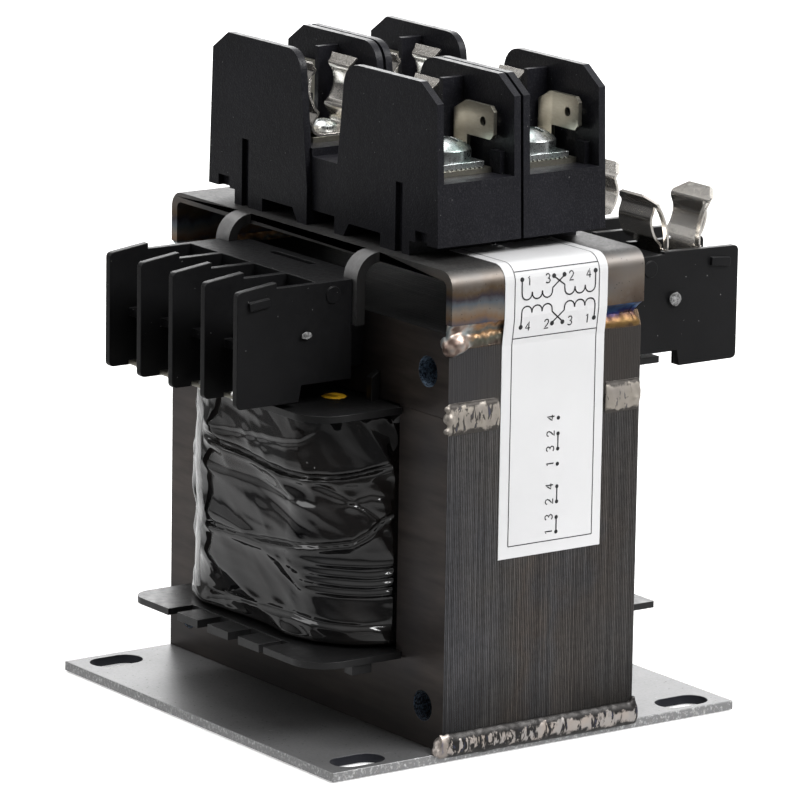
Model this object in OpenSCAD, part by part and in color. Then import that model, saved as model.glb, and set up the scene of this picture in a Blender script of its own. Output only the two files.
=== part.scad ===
// Control transformer: welded E-I core on a slotted base plate, wound bobbin,
// a terminal block on each side, and a two-pole fuse holder on a top bracket.
// Millimetres. Origin at the centre of the underside of the base plate, +Z up.
// X runs through the stack, Y along the core face; the front is at -Y.

/* [Core] */
// Width of the laminations, along Y
core_w = 92; // [80:0.5:120]
// Thickness of the lamination stack, along X
stack = 44.2; // [34:0.2:70]
// Height of the E laminations
e_h = 63.5; // [54:0.5:80]
// Height of the I laminations
i_h = 15.9; // [12:0.1:20]
// Width of each outer leg; the centre leg is twice this
leg_w = 15.3; // [12:0.1:18]
// Height of the E yoke under the windows
yoke_h = 15.3; // [12:0.1:18]
// Radius of the empty holes in the lamination corners
core_hole_r = 2.9; // [2:0.1:3.5]
// Distance of those holes from the ends of the laminations
core_hole_in = 6.5; // [5:0.1:9]

/* [Base plate] */
// Length of the base plate, along X
base_x = 93.4; // [80:0.2:130]
// Thickness of the base plate
base_t = 1.8; // [1.2:0.1:4]
// Length of each mounting slot, along X
slot_len = 11; // [8:0.5:16]
// Width of each mounting slot
slot_w = 6.4; // [4:0.1:8]
// Slot centre to the end of the plate, along X
slot_in_x = 8.8; // [7:0.1:12]
// Slot centre to the side of the plate, along Y
slot_in_y = 4.9; // [4.3:0.1:8]

/* [Top bracket] */
// Thickness of the bracket sheet
bracket_t = 1.9; // [1.2:0.1:3]
// Height of the bracket over the core
bracket_rise = 11.7; // [9:0.1:20]
// How far the bracket ends stand out from the core face
bracket_proud = 0.7; // [0.3:0.1:1.5]
// Outer bend radius of the bracket ends
bracket_bend = 3.2; // [2.6:0.1:5]
// Width of each curled tab
tab_w = 4.3; // [3:0.1:6]
// Centre of each curled tab, out from the middle along Y
tab_y = 21.35; // [20:0.05:26]
// How far the outside of a tab stands out from the core side
tab_out = 5.1; // [4.2:0.1:8]
// Length that a tab hangs below the bracket top
tab_drop = 13.5; // [10:0.5:18]

/* [Bobbin and winding] */
// Thickness of the bobbin flanges
flange_t = 1.3; // [0.8:0.1:2]
// Thickness of the bobbin tube
tube_t = 1.5; // [1:0.1:2.5]
// Clearance of the bobbin in the core windows
bobbin_gap = 0.3; // [0.1:0.05:0.6]
// How far the flanges stand out from the core side
flange_out = 20; // [16:0.5:26]
// How far the flanges reach past the outside of the windows
flange_side = 1.2; // [0.5:0.1:3]
// How far the winding stands out from the core side
coil_out = 13.7; // [11:0.1:19]
// Clearance of the winding to the flanges and the outer legs
coil_gap = 0.4; // [0.2:0.1:1]

/* [Terminal blocks] */
// Pitch of the barriers
pitch = 10.8; // [9:0.1:14]
// Thickness of a barrier
barrier_t = 1.5; // [1:0.1:2.4]
// Terminals on the primary side
primary_ways = 4; // [2:1:4]
// Places on the secondary side; the first and fourth hold the clips of a fuse
secondary_ways = 6; // [5:1:7]
// Offset of the secondary block along Y
secondary_y = -1; // [-2:0.5:2]
// Height of the block over the bobbin, to its flat top
block_h = 23.1; // [20:0.1:28]
// Reach of the primary barriers out from the core side
primary_reach = 30.8; // [29:0.1:40]
// Reach of the secondary barriers out from the core side
secondary_reach = 32.3; // [29:0.1:40]
// Depth of the terminals, in from the edges of the barriers
ways_deep = 18.2; // [17:0.1:20]
// Height of the terminal floor under the flat top
floor_drop = 11; // [9:0.1:13]
// Radius of a terminal screw head
screw_r = 3.6; // [2.5:0.1:4]

/* [Fuse holder] */
// Width of one pole
pole_w = 19; // [17:0.1:24]
// Gap between the two poles
pole_gap = 0.6; // [0.3:0.1:2]
// Length of the holder, along Y
holder_l = 76; // [70:0.5:90]
// Height of the holder
holder_h = 33; // [30:0.5:42]
// Height of the deck that carries the clips
deck_h = 14.6; // [11:0.1:18]
// Thickness of the upright walls
wall_t = 1.5; // [1:0.1:2.5]
// Height that the feet lift the body off the bracket
foot_h = 2.8; // [1.5:0.1:5]

/* [Fuse clips] */
// Diameter of the fuse that the clips take
fuse_d = 10.3; // [9:0.1:11]
// Length of that fuse
fuse_l = 38; // [34:0.5:42]
// Thickness of the clip sheet
clip_t = 0.5; // [0.3:0.1:0.8]
// Length of a clip along the fuse
clip_l = 9; // [6:0.5:10]
// Thickness of the terminal plates
plate_t = 1; // [0.8:0.1:1.2]
// Thickness of the quick-connect tabs
tab_t = 0.8; // [0.6:0.1:1]
// Width of the quick-connect tabs
tab_h = 6.35; // [4.75:0.05:6.35]

/* [Label] */
// Width of the label
label_w = 23.6; // [16:0.2:30]
// Centre of the label along X
label_x = 1.6; // [-3:0.1:3]
// Height of the lower edge of the label
label_z = 37.2; // [28:0.2:50]
// Thickness of the label
label_t = 0.15; // [0.1:0.05:0.3]

/* [Hidden] */
$fn = 48;

// Clearance of pieces that fit beside each other, and the overlap of a cutter
gap = 0.1;
cut = 1;

hx = stack / 2;
hy = core_w / 2;
e_top = base_t + e_h;
core_top = e_top + i_h;
window_lo = base_t + yoke_h;
window_y = hy - leg_w;
hole_y = hy - core_hole_in;
low_hole_z = base_t + yoke_h / 2;
high_hole_z = e_top + i_h / 2;

// Weld grooves and beads
groove_h = 2.8;
groove_d = 1.2;
weld_gap = 1.8;
bead_z = 0.6;
bead_h = 5;
bead_d = 1.2;
bead_past = 0.8;
bead_short = 2;
joint_bead_h = 6.6;
joint_bead_d = 0.6;
joint_bead_gap = 0.4;

bracket_top = core_top + bracket_rise;
bracket_y = hy + bracket_proud;
tab_x = hx + tab_out;

slot_x = base_x / 2 - slot_in_x;
slot_y = hy - slot_in_y;

flange_lo = window_lo;
flange_hi = e_top - bobbin_gap - flange_t;
flange_x = hx + flange_out;
flange_y = window_y + flange_side;
tube_x = hx + bobbin_gap + tube_t;
tube_y = leg_w + bobbin_gap + tube_t;
coil_x = hx + coil_out;
coil_y = window_y - coil_gap;
coil_lo = flange_lo + flange_t + coil_gap;
coil_hi = flange_hi - coil_gap;
flange_r = 7;
coil_r = 17;

// The lower flange has two ears at each end, with three tongues between them; its four
// corners differ, and each is [x, y, radius]
ear_y = 16.4;
corners = [
    [-flange_x - 0.3, -flange_y - 1, flange_r],
    [-flange_x, flange_y - 1.6, 4.5],
    [flange_x - 1.2, -flange_y + 3.6, 0.5],
    [flange_x - 1.2, flange_y - 3.6, 0.5]
];
recess_x = flange_x - 5.6;
tongue_x = flange_x - 0.4;
tongue_w = 7;
tongue_step = 10.4;
tongue_lo = flange_lo - 0.5;
tongue_hi = flange_lo + 1.1;

// The upper flange is cut back on the secondary side, but for one broad tongue
back_edge_x = coil_x + 2;
rest_x = hx + 23.6;
rest_y = 21.5;

// Depths with _in are measured in from the edges of the barriers
block_lo = flange_hi + flange_t;
barrier_lo = block_lo + 1.1;
back_lo = block_lo + 4.2;
block_top = block_lo + block_h;
block_in = tab_x + gap;
primary_x = hx + primary_reach;
secondary_x = hx + secondary_reach;
floor_top = block_top - floor_drop;
floor_t = 1.5;
floor_in = 4.4;
step_in = 13.8;
screw_in = 12;
tail_in = 6.7;
tag_in = 3.2;
primary_lip_in = 8.6;
primary_lip_h = 1.1;
secondary_lip_in = 17.9;
secondary_lip_h = 0.5;
skirt_t = 2.5;
bar_y = tab_y - tab_w / 2 - 2 * gap;
pad_t = 1;
tail_t = 0.8;
head_h = 2.6;
shank_r = 1.6;

pole_x = (pole_w + pole_gap) / 2;
half_l = holder_l / 2;
holder_lo = bracket_top;
deck = holder_lo + deck_h;
holder_top = holder_lo + holder_h;
section_y = 4.6;
foot_y = 29;
foot_top = holder_lo + foot_h;
wire_y = 26.7;
divider_y = 19.8;
divider_t = 1.2;
divider_in = 3.3;

fuse_r = fuse_d / 2;
clip_lo = deck + plate_t;
fuse_z = clip_lo + 8.3;
clip_y = fuse_l / 2 - clip_l - 0.8;
clip_mid = clip_y + 4;
clip_head_r = 2.7;
clip_head_h = 2.2;
clip_shank_r = 1.4;

washer_w = 10.4;
washer_t = 1.3;
wire_head_r = 4.8;
wire_head_h = 4.2;
wire_shank_r = 2;

sec_clip_l = 11.8;
sec_x = secondary_x - 12;
sec_fuse_z = block_top + 6;
sec_clip_places = [0, 3];
sec_screw_places = [for (k = [0:secondary_ways - 1]) if (k != 0 && k != 3) k];

// ---- helpers -------------------------------------------------------------

// Points on an arc about c, from angle a0 to a1
function arc(c, r, a0, a1, n = 8) =
    [for (i = [0:n]) let (a = a0 + (a1 - a0) * i / n) c + r * [cos(a), sin(a)]];

// A path moved sideways by d
function beside(p, d) =
    let (last = len(p) - 1)
    [for (i = [0:last])
        let (v = p[min(i + 1, last)] - p[max(i - 1, 0)])
        p[i] + d * [-v[1], v[0]] / norm(v)];

// A smooth curve through the points p
function between(a, b, c, d, t) = 0.5 * (2 * b + (c - a) * t
    + (2 * a - 5 * b + 4 * c - d) * t * t + (3 * b - a - 3 * c + d) * t * t * t);

function smooth(p, n = 4) =
    let (last = len(p) - 1)
    concat([for (i = [0:last - 1], j = [0:n - 1])
        between(p[max(i - 1, 0)], p[i], p[i + 1], p[min(i + 2, last)], j / n)], [p[last]]);

function reversed(p) = [for (i = [len(p) - 1:-1:0]) p[i]];

// A strip of sheet of thickness t that follows a path
module sheet(p, t) {
    polygon(concat(beside(p, t / 2), reversed(beside(p, -t / 2))));
}

// An outline drawn in X and Z, thick from y0 to y1
module along_y(y0, y1) {
    translate([0, y1, 0]) rotate([90, 0, 0]) linear_extrude(y1 - y0) children();
}

// An outline drawn in Y and Z, thick from x0 to x1
module along_x(x0, x1) {
    translate([x0, 0, 0]) rotate([90, 0, 90]) linear_extrude(x1 - x0) children();
}

module block(lo, hi) {
    translate(lo) cube(hi - lo);
}

module at_both_ends() {
    children();
    mirror([0, 1, 0]) children();
}

// ---- core ----------------------------------------------------------------

module stack_hole(y, z) {
    translate([-hx - cut, y, z]) rotate([0, 90, 0])
        cylinder(r = core_hole_r, h = stack + 2 * cut);
}

module core_e_stack() {
    color("#2c2826") difference() {
        along_x(-hx, hx) polygon([
            [-hy, base_t], [hy, base_t], [hy, e_top], [window_y, e_top],
            [window_y, window_lo], [leg_w, window_lo], [leg_w, e_top], [-leg_w, e_top],
            [-leg_w, window_lo], [-window_y, window_lo], [-window_y, e_top], [-hy, e_top]
        ]);
        stack_hole(hole_y, low_hole_z);
        stack_hole(-hole_y, low_hole_z);
    }
}

module core_i_stack() {
    color("#2c2826") difference() {
        along_x(-hx, hx) polygon([
            [-hy, e_top], [hy, e_top], [hy, core_top - groove_h], [hy - groove_d, core_top],
            [groove_d - hy, core_top], [-hy, core_top - groove_h]
        ]);
        stack_hole(hole_y, high_hole_z);
        stack_hole(-hole_y, high_hole_z);
    }
}

// ---- welds ---------------------------------------------------------------

// A low rounded bead on the front face, from z0 to z0 + h
module bead(x0, x1, z0, h, d) {
    r = (h * h / 4 + d * d) / (2 * d);
    half = asin(h / 2 / r);
    along_x(x0, x1) polygon(arc([r - d - hy, z0 + h / 2], r, 180 - half, 180 + half));
}

// Along the foot of the core, past its edges or short of them
module base_weld(past) {
    color("#8d8580") bead(-hx - past, hx + past, bead_z, bead_h, bead_d);
}

module joint_weld() {
    low = e_top - joint_bead_h / 2;
    clear = label_w / 2 + joint_bead_gap;
    color("#8d8580") {
        bead(-hx, label_x - clear, low, joint_bead_h, joint_bead_d);
        bead(label_x + clear, hx, low, joint_bead_h, joint_bead_d);
    }
}

// Concave fillet that fills the groove between the bracket end and the core
module bracket_weld() {
    flange_in = bracket_y - bracket_t;
    color("#8d8580") along_x(-hx, hx) polygon(concat(
        [[-hy, core_top - groove_h], [groove_d - hy, core_top], [-flange_in, core_top],
         [-flange_in, core_top + weld_gap], [-bracket_y, core_top + weld_gap]],
        [[0.8 - bracket_y, core_top + 0.9], [1.1 - bracket_y, core_top - 0.4],
         [0.45 - hy, core_top - 1.6]]
    ));
}

module base_weld_front() { base_weld(bead_past); }
module base_weld_back() { mirror([0, 1, 0]) base_weld(-bead_short); }
module joint_weld_front() { joint_weld(); }
module joint_weld_back() { mirror([0, 1, 0]) joint_weld(); }
module bracket_weld_front() { bracket_weld(); }
module bracket_weld_back() { mirror([0, 1, 0]) bracket_weld(); }

// ---- base plate and top bracket --------------------------------------------

module slot(x, y) {
    r = slot_w / 2;
    run = slot_len / 2 - r;
    deep = base_t + 2 * cut;
    translate([x, y, -cut]) {
        translate([-run, -r, 0]) cube([2 * run, slot_w, deep]);
        translate([-run, 0, 0]) cylinder(r = r, h = deep);
        translate([run, 0, 0]) cylinder(r = r, h = deep);
    }
}

module base_plate() {
    color("#5b5a58") difference() {
        block([-base_x / 2, -hy, 0], [base_x / 2, hy, base_t]);
        for (x = [-slot_x, slot_x], y = [-slot_y, slot_y]) slot(x, y);
    }
}

// A tab that leaves the edge of the bracket, curls over and hangs down outside the core
module curled_tab() {
    r = tab_out - bracket_t / 2;
    z = bracket_top - bracket_t / 2;
    along_y(tab_y - tab_w / 2, tab_y + tab_w / 2) sheet(concat(
        [[hx - 2, z], [hx - 1, z]], arc([hx, z - r], r, 90, 0),
        [[hx + r, z - r - 1], [hx + r, bracket_top - tab_drop]]
    ), bracket_t);
}

module top_bracket() {
    top = bracket_top;
    foot = core_top + weld_gap;
    outer = concat([[bracket_y, foot]], arc([bracket_y - bracket_bend, top - bracket_bend],
        bracket_bend, 0, 90));
    inner_r = bracket_bend - bracket_t;
    inner = concat(arc([bracket_y - bracket_bend, top - bracket_bend], inner_r, 90, 0),
        [[bracket_y - bracket_t, foot]]);
    half = concat(outer, [[0, top], [0, top - bracket_t]], inner);
    color("#57534f") {
        at_both_ends() along_x(-hx, hx) polygon(half);
        at_both_ends() curled_tab();
        mirror([1, 0, 0]) at_both_ends() curled_tab();
    }
}

// ---- bobbin and winding ------------------------------------------------------

// A rectangle with round corners about the middle
module rounded(x, y, r) {
    square([2 * x, 2 * (y - r)], center = true);
    square([2 * (x - r), 2 * y], center = true);
    for (a = [-1, 1], b = [-1, 1]) translate([a * (x - r), b * (y - r)]) circle(r);
}

// A plate with round outer corners that starts at the middle and ends at x
module half_plate(x, y, r) {
    translate([x / 2, 0]) rounded(abs(x) / 2, y, r);
}

// The outline given, outside the core, with the narrower part that lies in the windows
module flange(z) {
    edge = hx + bobbin_gap;
    inside = window_y - bobbin_gap;
    translate([0, 0, z]) linear_extrude(flange_t) difference() {
        children();
        square([2 * edge, 2 * core_w], center = true);
    }
    block([-edge, -inside, z], [edge, inside, z + flange_t]);
}

module upper_outline() {
    half_plate(-flange_x, flange_y, flange_r);
    half_plate(back_edge_x, flange_y, coil_r);
    translate([rest_x / 2, 0]) square([rest_x, 2 * rest_y], center = true);
}

// A plate with round corners from just past the middle to the corner given
module quarter_plate(corner) {
    x = corner[0];
    y = corner[1];
    past = 2 * corner[2];
    translate([x - sign(x) * past, y - sign(y) * past] / 2)
        rounded((abs(x) + past) / 2, (abs(y) + past) / 2, corner[2]);
}

module lower_outline() {
    difference() {
        for (corner = corners) quarter_plate(corner);
        for (s = [-1, 1]) translate([s * (recess_x + flange_x), 0])
            square([2 * flange_x, 2 * ear_y], center = true);
    }
}

// The foot under one corner of the lower flange
module bobbin_foot(corner) {
    foot_x = sign(corner[0]) * (hx + 8.9);
    foot_y = sign(corner[1]) * (abs(corner[1]) - 1.75);
    foot_w = 2.2;
    foot_d = 1.25;
    block([foot_x - foot_w, foot_y - foot_d, flange_lo - 1.9],
          [foot_x + foot_w, foot_y + foot_d, flange_lo + flange_t / 2]);
}

// The post against the core at one corner
module bobbin_post() {
    post_in = hx + bobbin_gap;
    post_lo = flange_hi + flange_t / 2;
    post_hi = flange_hi + flange_t + 5.6;
    along_y(-24.6, -22.9) polygon([
        [post_in, post_lo], [post_in + 1.8, post_lo], [post_in + 1.8, post_hi - 1.2],
        [post_in, post_hi]
    ]);
}

module bobbin() {
    hole_x = hx + bobbin_gap;
    hole_y = leg_w + bobbin_gap;
    color("#1b1b1c") difference() {
        union() {
            flange(flange_hi) upper_outline();
            flange(flange_lo) lower_outline();
            for (corner = corners) bobbin_foot(corner);
            for (s = [0, 1]) mirror([s, 0, 0]) {
                at_both_ends() bobbin_post();
                for (k = [-1:1]) block([recess_x - 3, k * tongue_step - tongue_w / 2, tongue_lo],
                    [tongue_x, k * tongue_step + tongue_w / 2, tongue_hi]);
            }
            block([-tube_x, -tube_y, flange_lo], [tube_x, tube_y, flange_hi]);
        }
        block([-hole_x, -hole_y, window_lo - cut], [hole_x, hole_y, e_top]);
    }
}

module winding() {
    color("#0c0c0e") difference() {
        translate([0, 0, coil_lo]) linear_extrude(coil_hi - coil_lo)
            rounded(coil_x, coil_y, coil_r);
        block([-tube_x, -tube_y, coil_lo - cut], [tube_x, tube_y, coil_hi + cut]);
    }
}

// ---- terminal blocks, drawn on the +X side -------------------------------------

function half_block(ways) = (ways * pitch + barrier_t) / 2;
function way_y(ways, k) = (k - (ways - 1) / 2) * pitch;

module barrier_outline(out, lip_in, lip_h) {
    r = 1;
    step_x = out - step_in;
    polygon(concat(
        [[block_in, back_lo], [step_x - 0.6, back_lo], [step_x, barrier_lo]],
        arc([out - r, barrier_lo + r], r, -90, 0, 4),
        arc([out - r, block_top + gap - r], r, 0, 80, 4),
        [[out - lip_in, block_top + lip_h], [out - lip_in, block_top], [block_in, block_top]]
    ));
}

// A raised bar and a shallow round boss on the end at y
module end_marks(out, y) {
    translate([out - 4.6, y - 0.3, block_top - 2.6]) rotate([0, 6, 0])
        cube([4.6, 0.7, 1.6], center = true);
    translate([out - 21.2, y + 0.3, block_top - 2.5]) rotate([90, 0, 0])
        cylinder(r = 1.6, h = 0.6);
}

// Barriers on a solid back, a floor for the terminals, and a bar that reaches the core
// between the curled tabs. The block is drawn about its own middle, shift from the core's,
// and its barriers reach to out.
module terminal_block(ways, shift, out, lip_in, lip_h) {
    half = half_block(ways);
    back_x = out - ways_deep;
    floor_lo = floor_top - floor_t;
    difference() {
        union() {
            for (k = [0:ways]) let (y = -half + k * pitch)
                along_y(y, y + barrier_t) barrier_outline(out, lip_in, lip_h);
            block([block_in, -half, back_lo], [back_x, half, block_top]);
            block([hx + 3 * gap, -bar_y - shift, back_lo + 1.5],
                  [block_in, bar_y - shift, block_top]);
            block([back_x, -half, floor_lo], [out - floor_in, half, floor_top]);
            block([back_x - 2, pitch - half, block_lo], [back_x, half - pitch, back_lo]);
            block([out - step_in, -half, barrier_lo], [out - 1.2, skirt_t - half, floor_lo]);
            end_marks(out, -half);
        }
        block([block_in - 2.6, -7, block_top - 2], [block_in - 1, 7, block_top + cut]);
        for (k = [0:ways - 1])
            translate([out - tail_in + tail_t / 2, way_y(ways, k), floor_top])
                cube([2, 5, 4 * floor_t], center = true);
    }
}

// A tinned terminal: a pad on the floor, a tail through it, and a tag for the winding's wire
module terminal(y, out) {
    half_w = 3.8;
    tail_x = out - tail_in;
    tag_lo = barrier_lo + 0.6;
    translate([0, y, 0]) {
        difference() {
            block([out - ways_deep + 0.6, -half_w, floor_top],
                  [tail_x + tail_t, half_w, floor_top + pad_t]);
            translate([out - screw_in, 0, floor_top - cut])
                cylinder(r = shank_r + gap, h = pad_t + 2 * cut);
        }
        block([tail_x, -2, tag_lo], [tail_x + tail_t, 2, floor_top]);
        block([tail_x, -3, tag_lo], [out - tag_in, 3, tag_lo + tail_t]);
    }
}

// Pan head with a cross recess, standing on z, with its shank of radius r1 below
module pan_screw(x, y, z, r, h, r1, shank) {
    dome = 0.5 * h;
    big = (r * r + dome * dome) / (2 * dome);
    half = asin(r / big);
    turn = 20;
    translate([x, y, z]) difference() {
        rotate_extrude() polygon(concat([[0, -shank], [r1, -shank], [r1, 0], [r, 0]],
            arc([0, h - big], big, 90 - half, 90, 6)));
        for (a = [0, 90]) rotate([0, 0, a + turn]) translate([0, 0, h])
            cube([1.15 * r, 0.22 * r, 0.9 * h], center = true);
    }
}

module block_screws(ways, places, out) {
    for (k = places) pan_screw(out - screw_in, way_y(ways, k), floor_top + pad_t,
        screw_r, head_h, shank_r, pad_t);
}

module primary_block() {
    color("#1d1d1e") mirror([1, 0, 0])
        terminal_block(primary_ways, 0, primary_x, primary_lip_in, primary_lip_h);
}

module primary_terminals() {
    color("#b9b6ae") mirror([1, 0, 0])
        for (k = [0:primary_ways - 1]) terminal(way_y(primary_ways, k), primary_x);
}

module primary_screws() {
    color("#bfc3c6") mirror([1, 0, 0])
        block_screws(primary_ways, [0:primary_ways - 1], primary_x);
}

module secondary_block() {
    color("#1d1d1e") translate([0, secondary_y, 0]) terminal_block(secondary_ways,
        secondary_y, secondary_x, secondary_lip_in, secondary_lip_h);
}

module secondary_terminals() {
    color("#b9b6ae") translate([0, secondary_y, 0])
        for (k = sec_screw_places) terminal(way_y(secondary_ways, k), secondary_x);
}

module secondary_screws() {
    color("#bfc3c6") translate([0, secondary_y, 0])
        block_screws(secondary_ways, sec_screw_places, secondary_x);
}

// ---- fuse clips --------------------------------------------------------------

// One side of a clip, from the middle of its foot to its lip, in X and Z from the fuse axis.
// The belly follows a circle of radius r, between a neck under it and a throat over it.
function clip_side(foot, cup, neck, r, throat, lip) = smooth([
    [0, foot], [cup - 2.4, foot], [cup - 0.5, foot + 0.7], [cup, foot + 2.3], neck,
    r * [cos(30), -sin(30)], [r, 0], r * [cos(28), sin(28)], throat, lip - [0.7, 1], lip
]);

// Both sides, as one path from lip to lip
function both_sides(p) =
    concat([for (i = [len(p) - 1:-1:1]) [-p[i][0], p[i][1]]], p);

// The leaves seen from the side: a waist at the throat
module waisted(l, z0, z1, waist) {
    mid = z0 + 0.68 * (z1 - z0);
    polygon([
        [0, z0], [l, z0], [l, z0 + 0.35 * (z1 - z0)], [l - waist, mid], [l - waist, mid + 0.8],
        [l - 0.3, z1 - 1.6], [l - 0.3, z1], [0.3, z1], [0.3, z1 - 1.6],
        [waist, mid + 0.8], [waist, mid], [0, z0 + 0.35 * (z1 - z0)]
    ]);
}

module holder_clip(x, y0) {
    r = fuse_r + clip_t / 2 + 0.05;
    flat = 0.02;
    foot = clip_lo + clip_t / 2 - flat - fuse_z;
    side = clip_side(foot, 5.1, [3.9, -3.8], r, [3.95, 4.2], [5.3, 6]);
    difference() {
        intersection() {
            translate([x, 0, fuse_z]) along_y(y0, y0 + clip_l) sheet(both_sides(side), clip_t);
            translate([0, y0, 0]) along_x(x - 9, x + 9)
                waisted(clip_l, clip_lo, fuse_z + 8, 1.4);
        }
        translate([x, clip_mid, clip_lo - cut])
            cylinder(r = clip_shank_r + gap, h = clip_t + 2 * cut);
    }
}

// Terminal plate on the deck. Its outer edge turns up beside the washer and carries a
// quick-connect tab that points forward; a notch clears the divider.
module terminal_plate(x) {
    low = deck + 6.2;
    front = -33.6;
    rear = [x + washer_w / 2 + gap + tab_t / 2, -divider_y - divider_t - 0.7];
    bend = rear + [0.6, -3];
    corner = 1;
    hole_r = 0.9;
    difference() {
        union() {
            block([x - 5, -wire_y - 5.5, deck], [bend[0] + tab_t / 2, -clip_y, clip_lo]);
            intersection() {
                translate([0, 0, deck]) linear_extrude(holder_h)
                    sheet([rear, (rear + bend) / 2, bend, bend + [0, -1], [bend[0], front]],
                        tab_t);
                along_x(x, x + pole_w / 2) polygon([
                    [rear[1] + 1, deck], [bend[1] - 0.6, deck], [bend[1] - 0.6, low],
                    [front + corner, low], [front, low + corner],
                    [front, low + tab_h - corner], [front + corner, low + tab_h],
                    [bend[1], low + tab_h], [rear[1] + 1, low + tab_h - 2.4]
                ]);
            }
        }
        translate([x, -wire_y, deck - cut]) cylinder(r = wire_shank_r + gap, h = plate_t + 2 * cut);
        translate([x, -clip_mid, deck - cut])
            cylinder(r = clip_shank_r + gap, h = plate_t + 2 * cut);
        block([x + divider_in - gap, -divider_y - divider_t - gap, deck - cut],
              [x + pole_w, -clip_y + cut, clip_lo + cut]);
        translate([x, front + 3.4, low + tab_h / 2]) rotate([0, 90, 0])
            cylinder(r = hole_r, h = 9);
    }
}

// An open clip, drawn from its stop end at y = 0. A slit frees a narrow stop there, which
// stays straight where the leaf bellies out, so that the fuse can't slide out past it. The
// leaves are narrow between the barriers, and over them they widen past the next one.
module secondary_clip() {
    l = sec_clip_l;
    foot = floor_top + clip_t / 2 - sec_fuse_z;
    flat = 0.02;
    side = smooth([
        [0, foot + flat], [2.4, foot + flat], [3.6, foot + 0.7], [4, foot + 2.4], [4, -8],
        [3.9, -6.1], [4.3, -4.9], [5.1, -4], [5.9, -2.8], [6.5, -1], [6.55, 0.4], [6.15, 1.6],
        [5.95, 2.5], [6.3, 3.2], [7.2, 4.1], [8.2, 4.9]
    ]);
    stop = smooth([[3.95, -6.6], [3.8, -4.2], [4.1, -1.8], [4.6, -0.1], [5.25, 1.4],
        [5.9, 2.5], [6.2, 3.1]]);
    stop_w = 1.3;
    slit = 0.5;
    slit_lo = -5.6;
    slit_hi = 2.6;
    over = block_top + secondary_lip_h + gap - sec_fuse_z;
    inner_l = pitch - barrier_t - 3 * gap;
    corner_z = 3.4;
    tip_z = 5.3;
    corner = 3;
    intersection() {
        difference() {
            along_y(0, l) sheet(both_sides(side), clip_t);
            block([-20, -cut, slit_lo], [20, stop_w + slit, slit_hi]);
        }
        along_x(-20, 20) polygon([
            [0, foot - clip_t / 2], [inner_l, foot - clip_t / 2], [inner_l, over],
            [l, over + 0.8], [l, corner_z], [l - corner, tip_z], [corner, tip_z], [0, corner_z]
        ]);
    }
    for (s = [0, 1]) mirror([s, 0, 0])
        along_y(gap / 2, stop_w - gap / 2) sheet(stop, 0.8 * clip_t);
}

// The middle of a place, moved by s to the face of the barrier beside it
function sec_face_y(k, s) = secondary_y + way_y(secondary_ways, k)
    + s * ((pitch - barrier_t) / 2 - 1.5 * gap);

module secondary_clip_front() {
    color("#c9c5bb") translate([sec_x, sec_face_y(sec_clip_places[0], -1), sec_fuse_z])
        secondary_clip();
}

module secondary_clip_back() {
    color("#c9c5bb") translate([sec_x, sec_face_y(sec_clip_places[1], 1), sec_fuse_z])
        mirror([0, 1, 0]) secondary_clip();
}

// ---- fuse holder ---------------------------------------------------------------

// Side of one end section: sloping inner edge, round inner corner, chamfered outer corner
module wall_outline() {
    r = 4.5;
    polygon(concat(
        [[section_y, holder_lo], [section_y, holder_lo + 7]],
        arc([section_y + 2.4 + r, holder_top - r], r, 180, 90, 6),
        [[half_l - 6.2, holder_top], [half_l - 1, holder_top - 3.5], [half_l, foot_top],
         [foot_y, foot_top], [foot_y, holder_lo], [19.6, holder_lo], [19.6, foot_top - 0.2],
         [9.4, foot_top - 0.2], [7.6, holder_lo]]
    ));
}

// The body of an end section under its deck
module body_outline() {
    polygon([
        [0, foot_top], [section_y, foot_top], [section_y, holder_lo], [7.6, holder_lo],
        [9.4, foot_top - 0.2], [19.6, foot_top - 0.2], [19.6, holder_lo],
        [foot_y, holder_lo], [foot_y, foot_top], [half_l, foot_top], [half_l - 0.4, deck],
        [section_y, deck], [section_y, deck - 1.6], [0, deck - 1.6]
    ]);
}

module pole(x) {
    left = x - pole_w / 2;
    right = x + pole_w / 2;
    inset = 1.2;
    sill_y = half_l - 2.2;
    difference() {
        at_both_ends() {
            along_x(left, left + wall_t) wall_outline();
            along_x(right - wall_t, right) wall_outline();
            along_x(left + inset, right - inset) body_outline();
            block([left + wall_t, sill_y, foot_top], [right - wall_t, half_l - 0.5, deck]);
            block([x + divider_in, divider_y, deck],
                  [right - wall_t / 2, divider_y + divider_t, holder_top - 2.1]);
            block([right - wall_t - 1.2, half_l - 6.5, deck],
                  [right - wall_t / 2, half_l - 3.4, deck + 4.2]);
        }
        at_both_ends() {
            block([left - cut, 24.4, holder_lo - cut], [left + cut, 26.6, deck - 1.4]);
            block([left - cut, 30.8, holder_lo], [left + inset, 34.6, foot_top + 2.2]);
            translate([x, clip_mid, deck - 8]) cylinder(r = clip_shank_r - gap, h = 8 + cut);
            translate([x, wire_y, deck - 9]) cylinder(r = wire_shank_r - gap, h = 9 + cut);
        }
    }
}

module fuse_holder_left() { color("#202022") pole(-pole_x); }
module fuse_holder_right() { color("#202022") pole(pole_x); }

module terminal_plate_left_front() { color("#b4b0a4") terminal_plate(-pole_x); }
module terminal_plate_right_front() { color("#b4b0a4") terminal_plate(pole_x); }
module terminal_plate_left_back() { mirror([0, 1, 0]) terminal_plate_left_front(); }
module terminal_plate_right_back() { mirror([0, 1, 0]) terminal_plate_right_front(); }

module fuse_clip_left_back() { color("#c9c5bb") holder_clip(-pole_x, clip_y); }
module fuse_clip_right_back() { color("#c9c5bb") holder_clip(pole_x, clip_y); }
module fuse_clip_left_front() { mirror([0, 1, 0]) fuse_clip_left_back(); }
module fuse_clip_right_front() { mirror([0, 1, 0]) fuse_clip_right_back(); }

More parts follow.
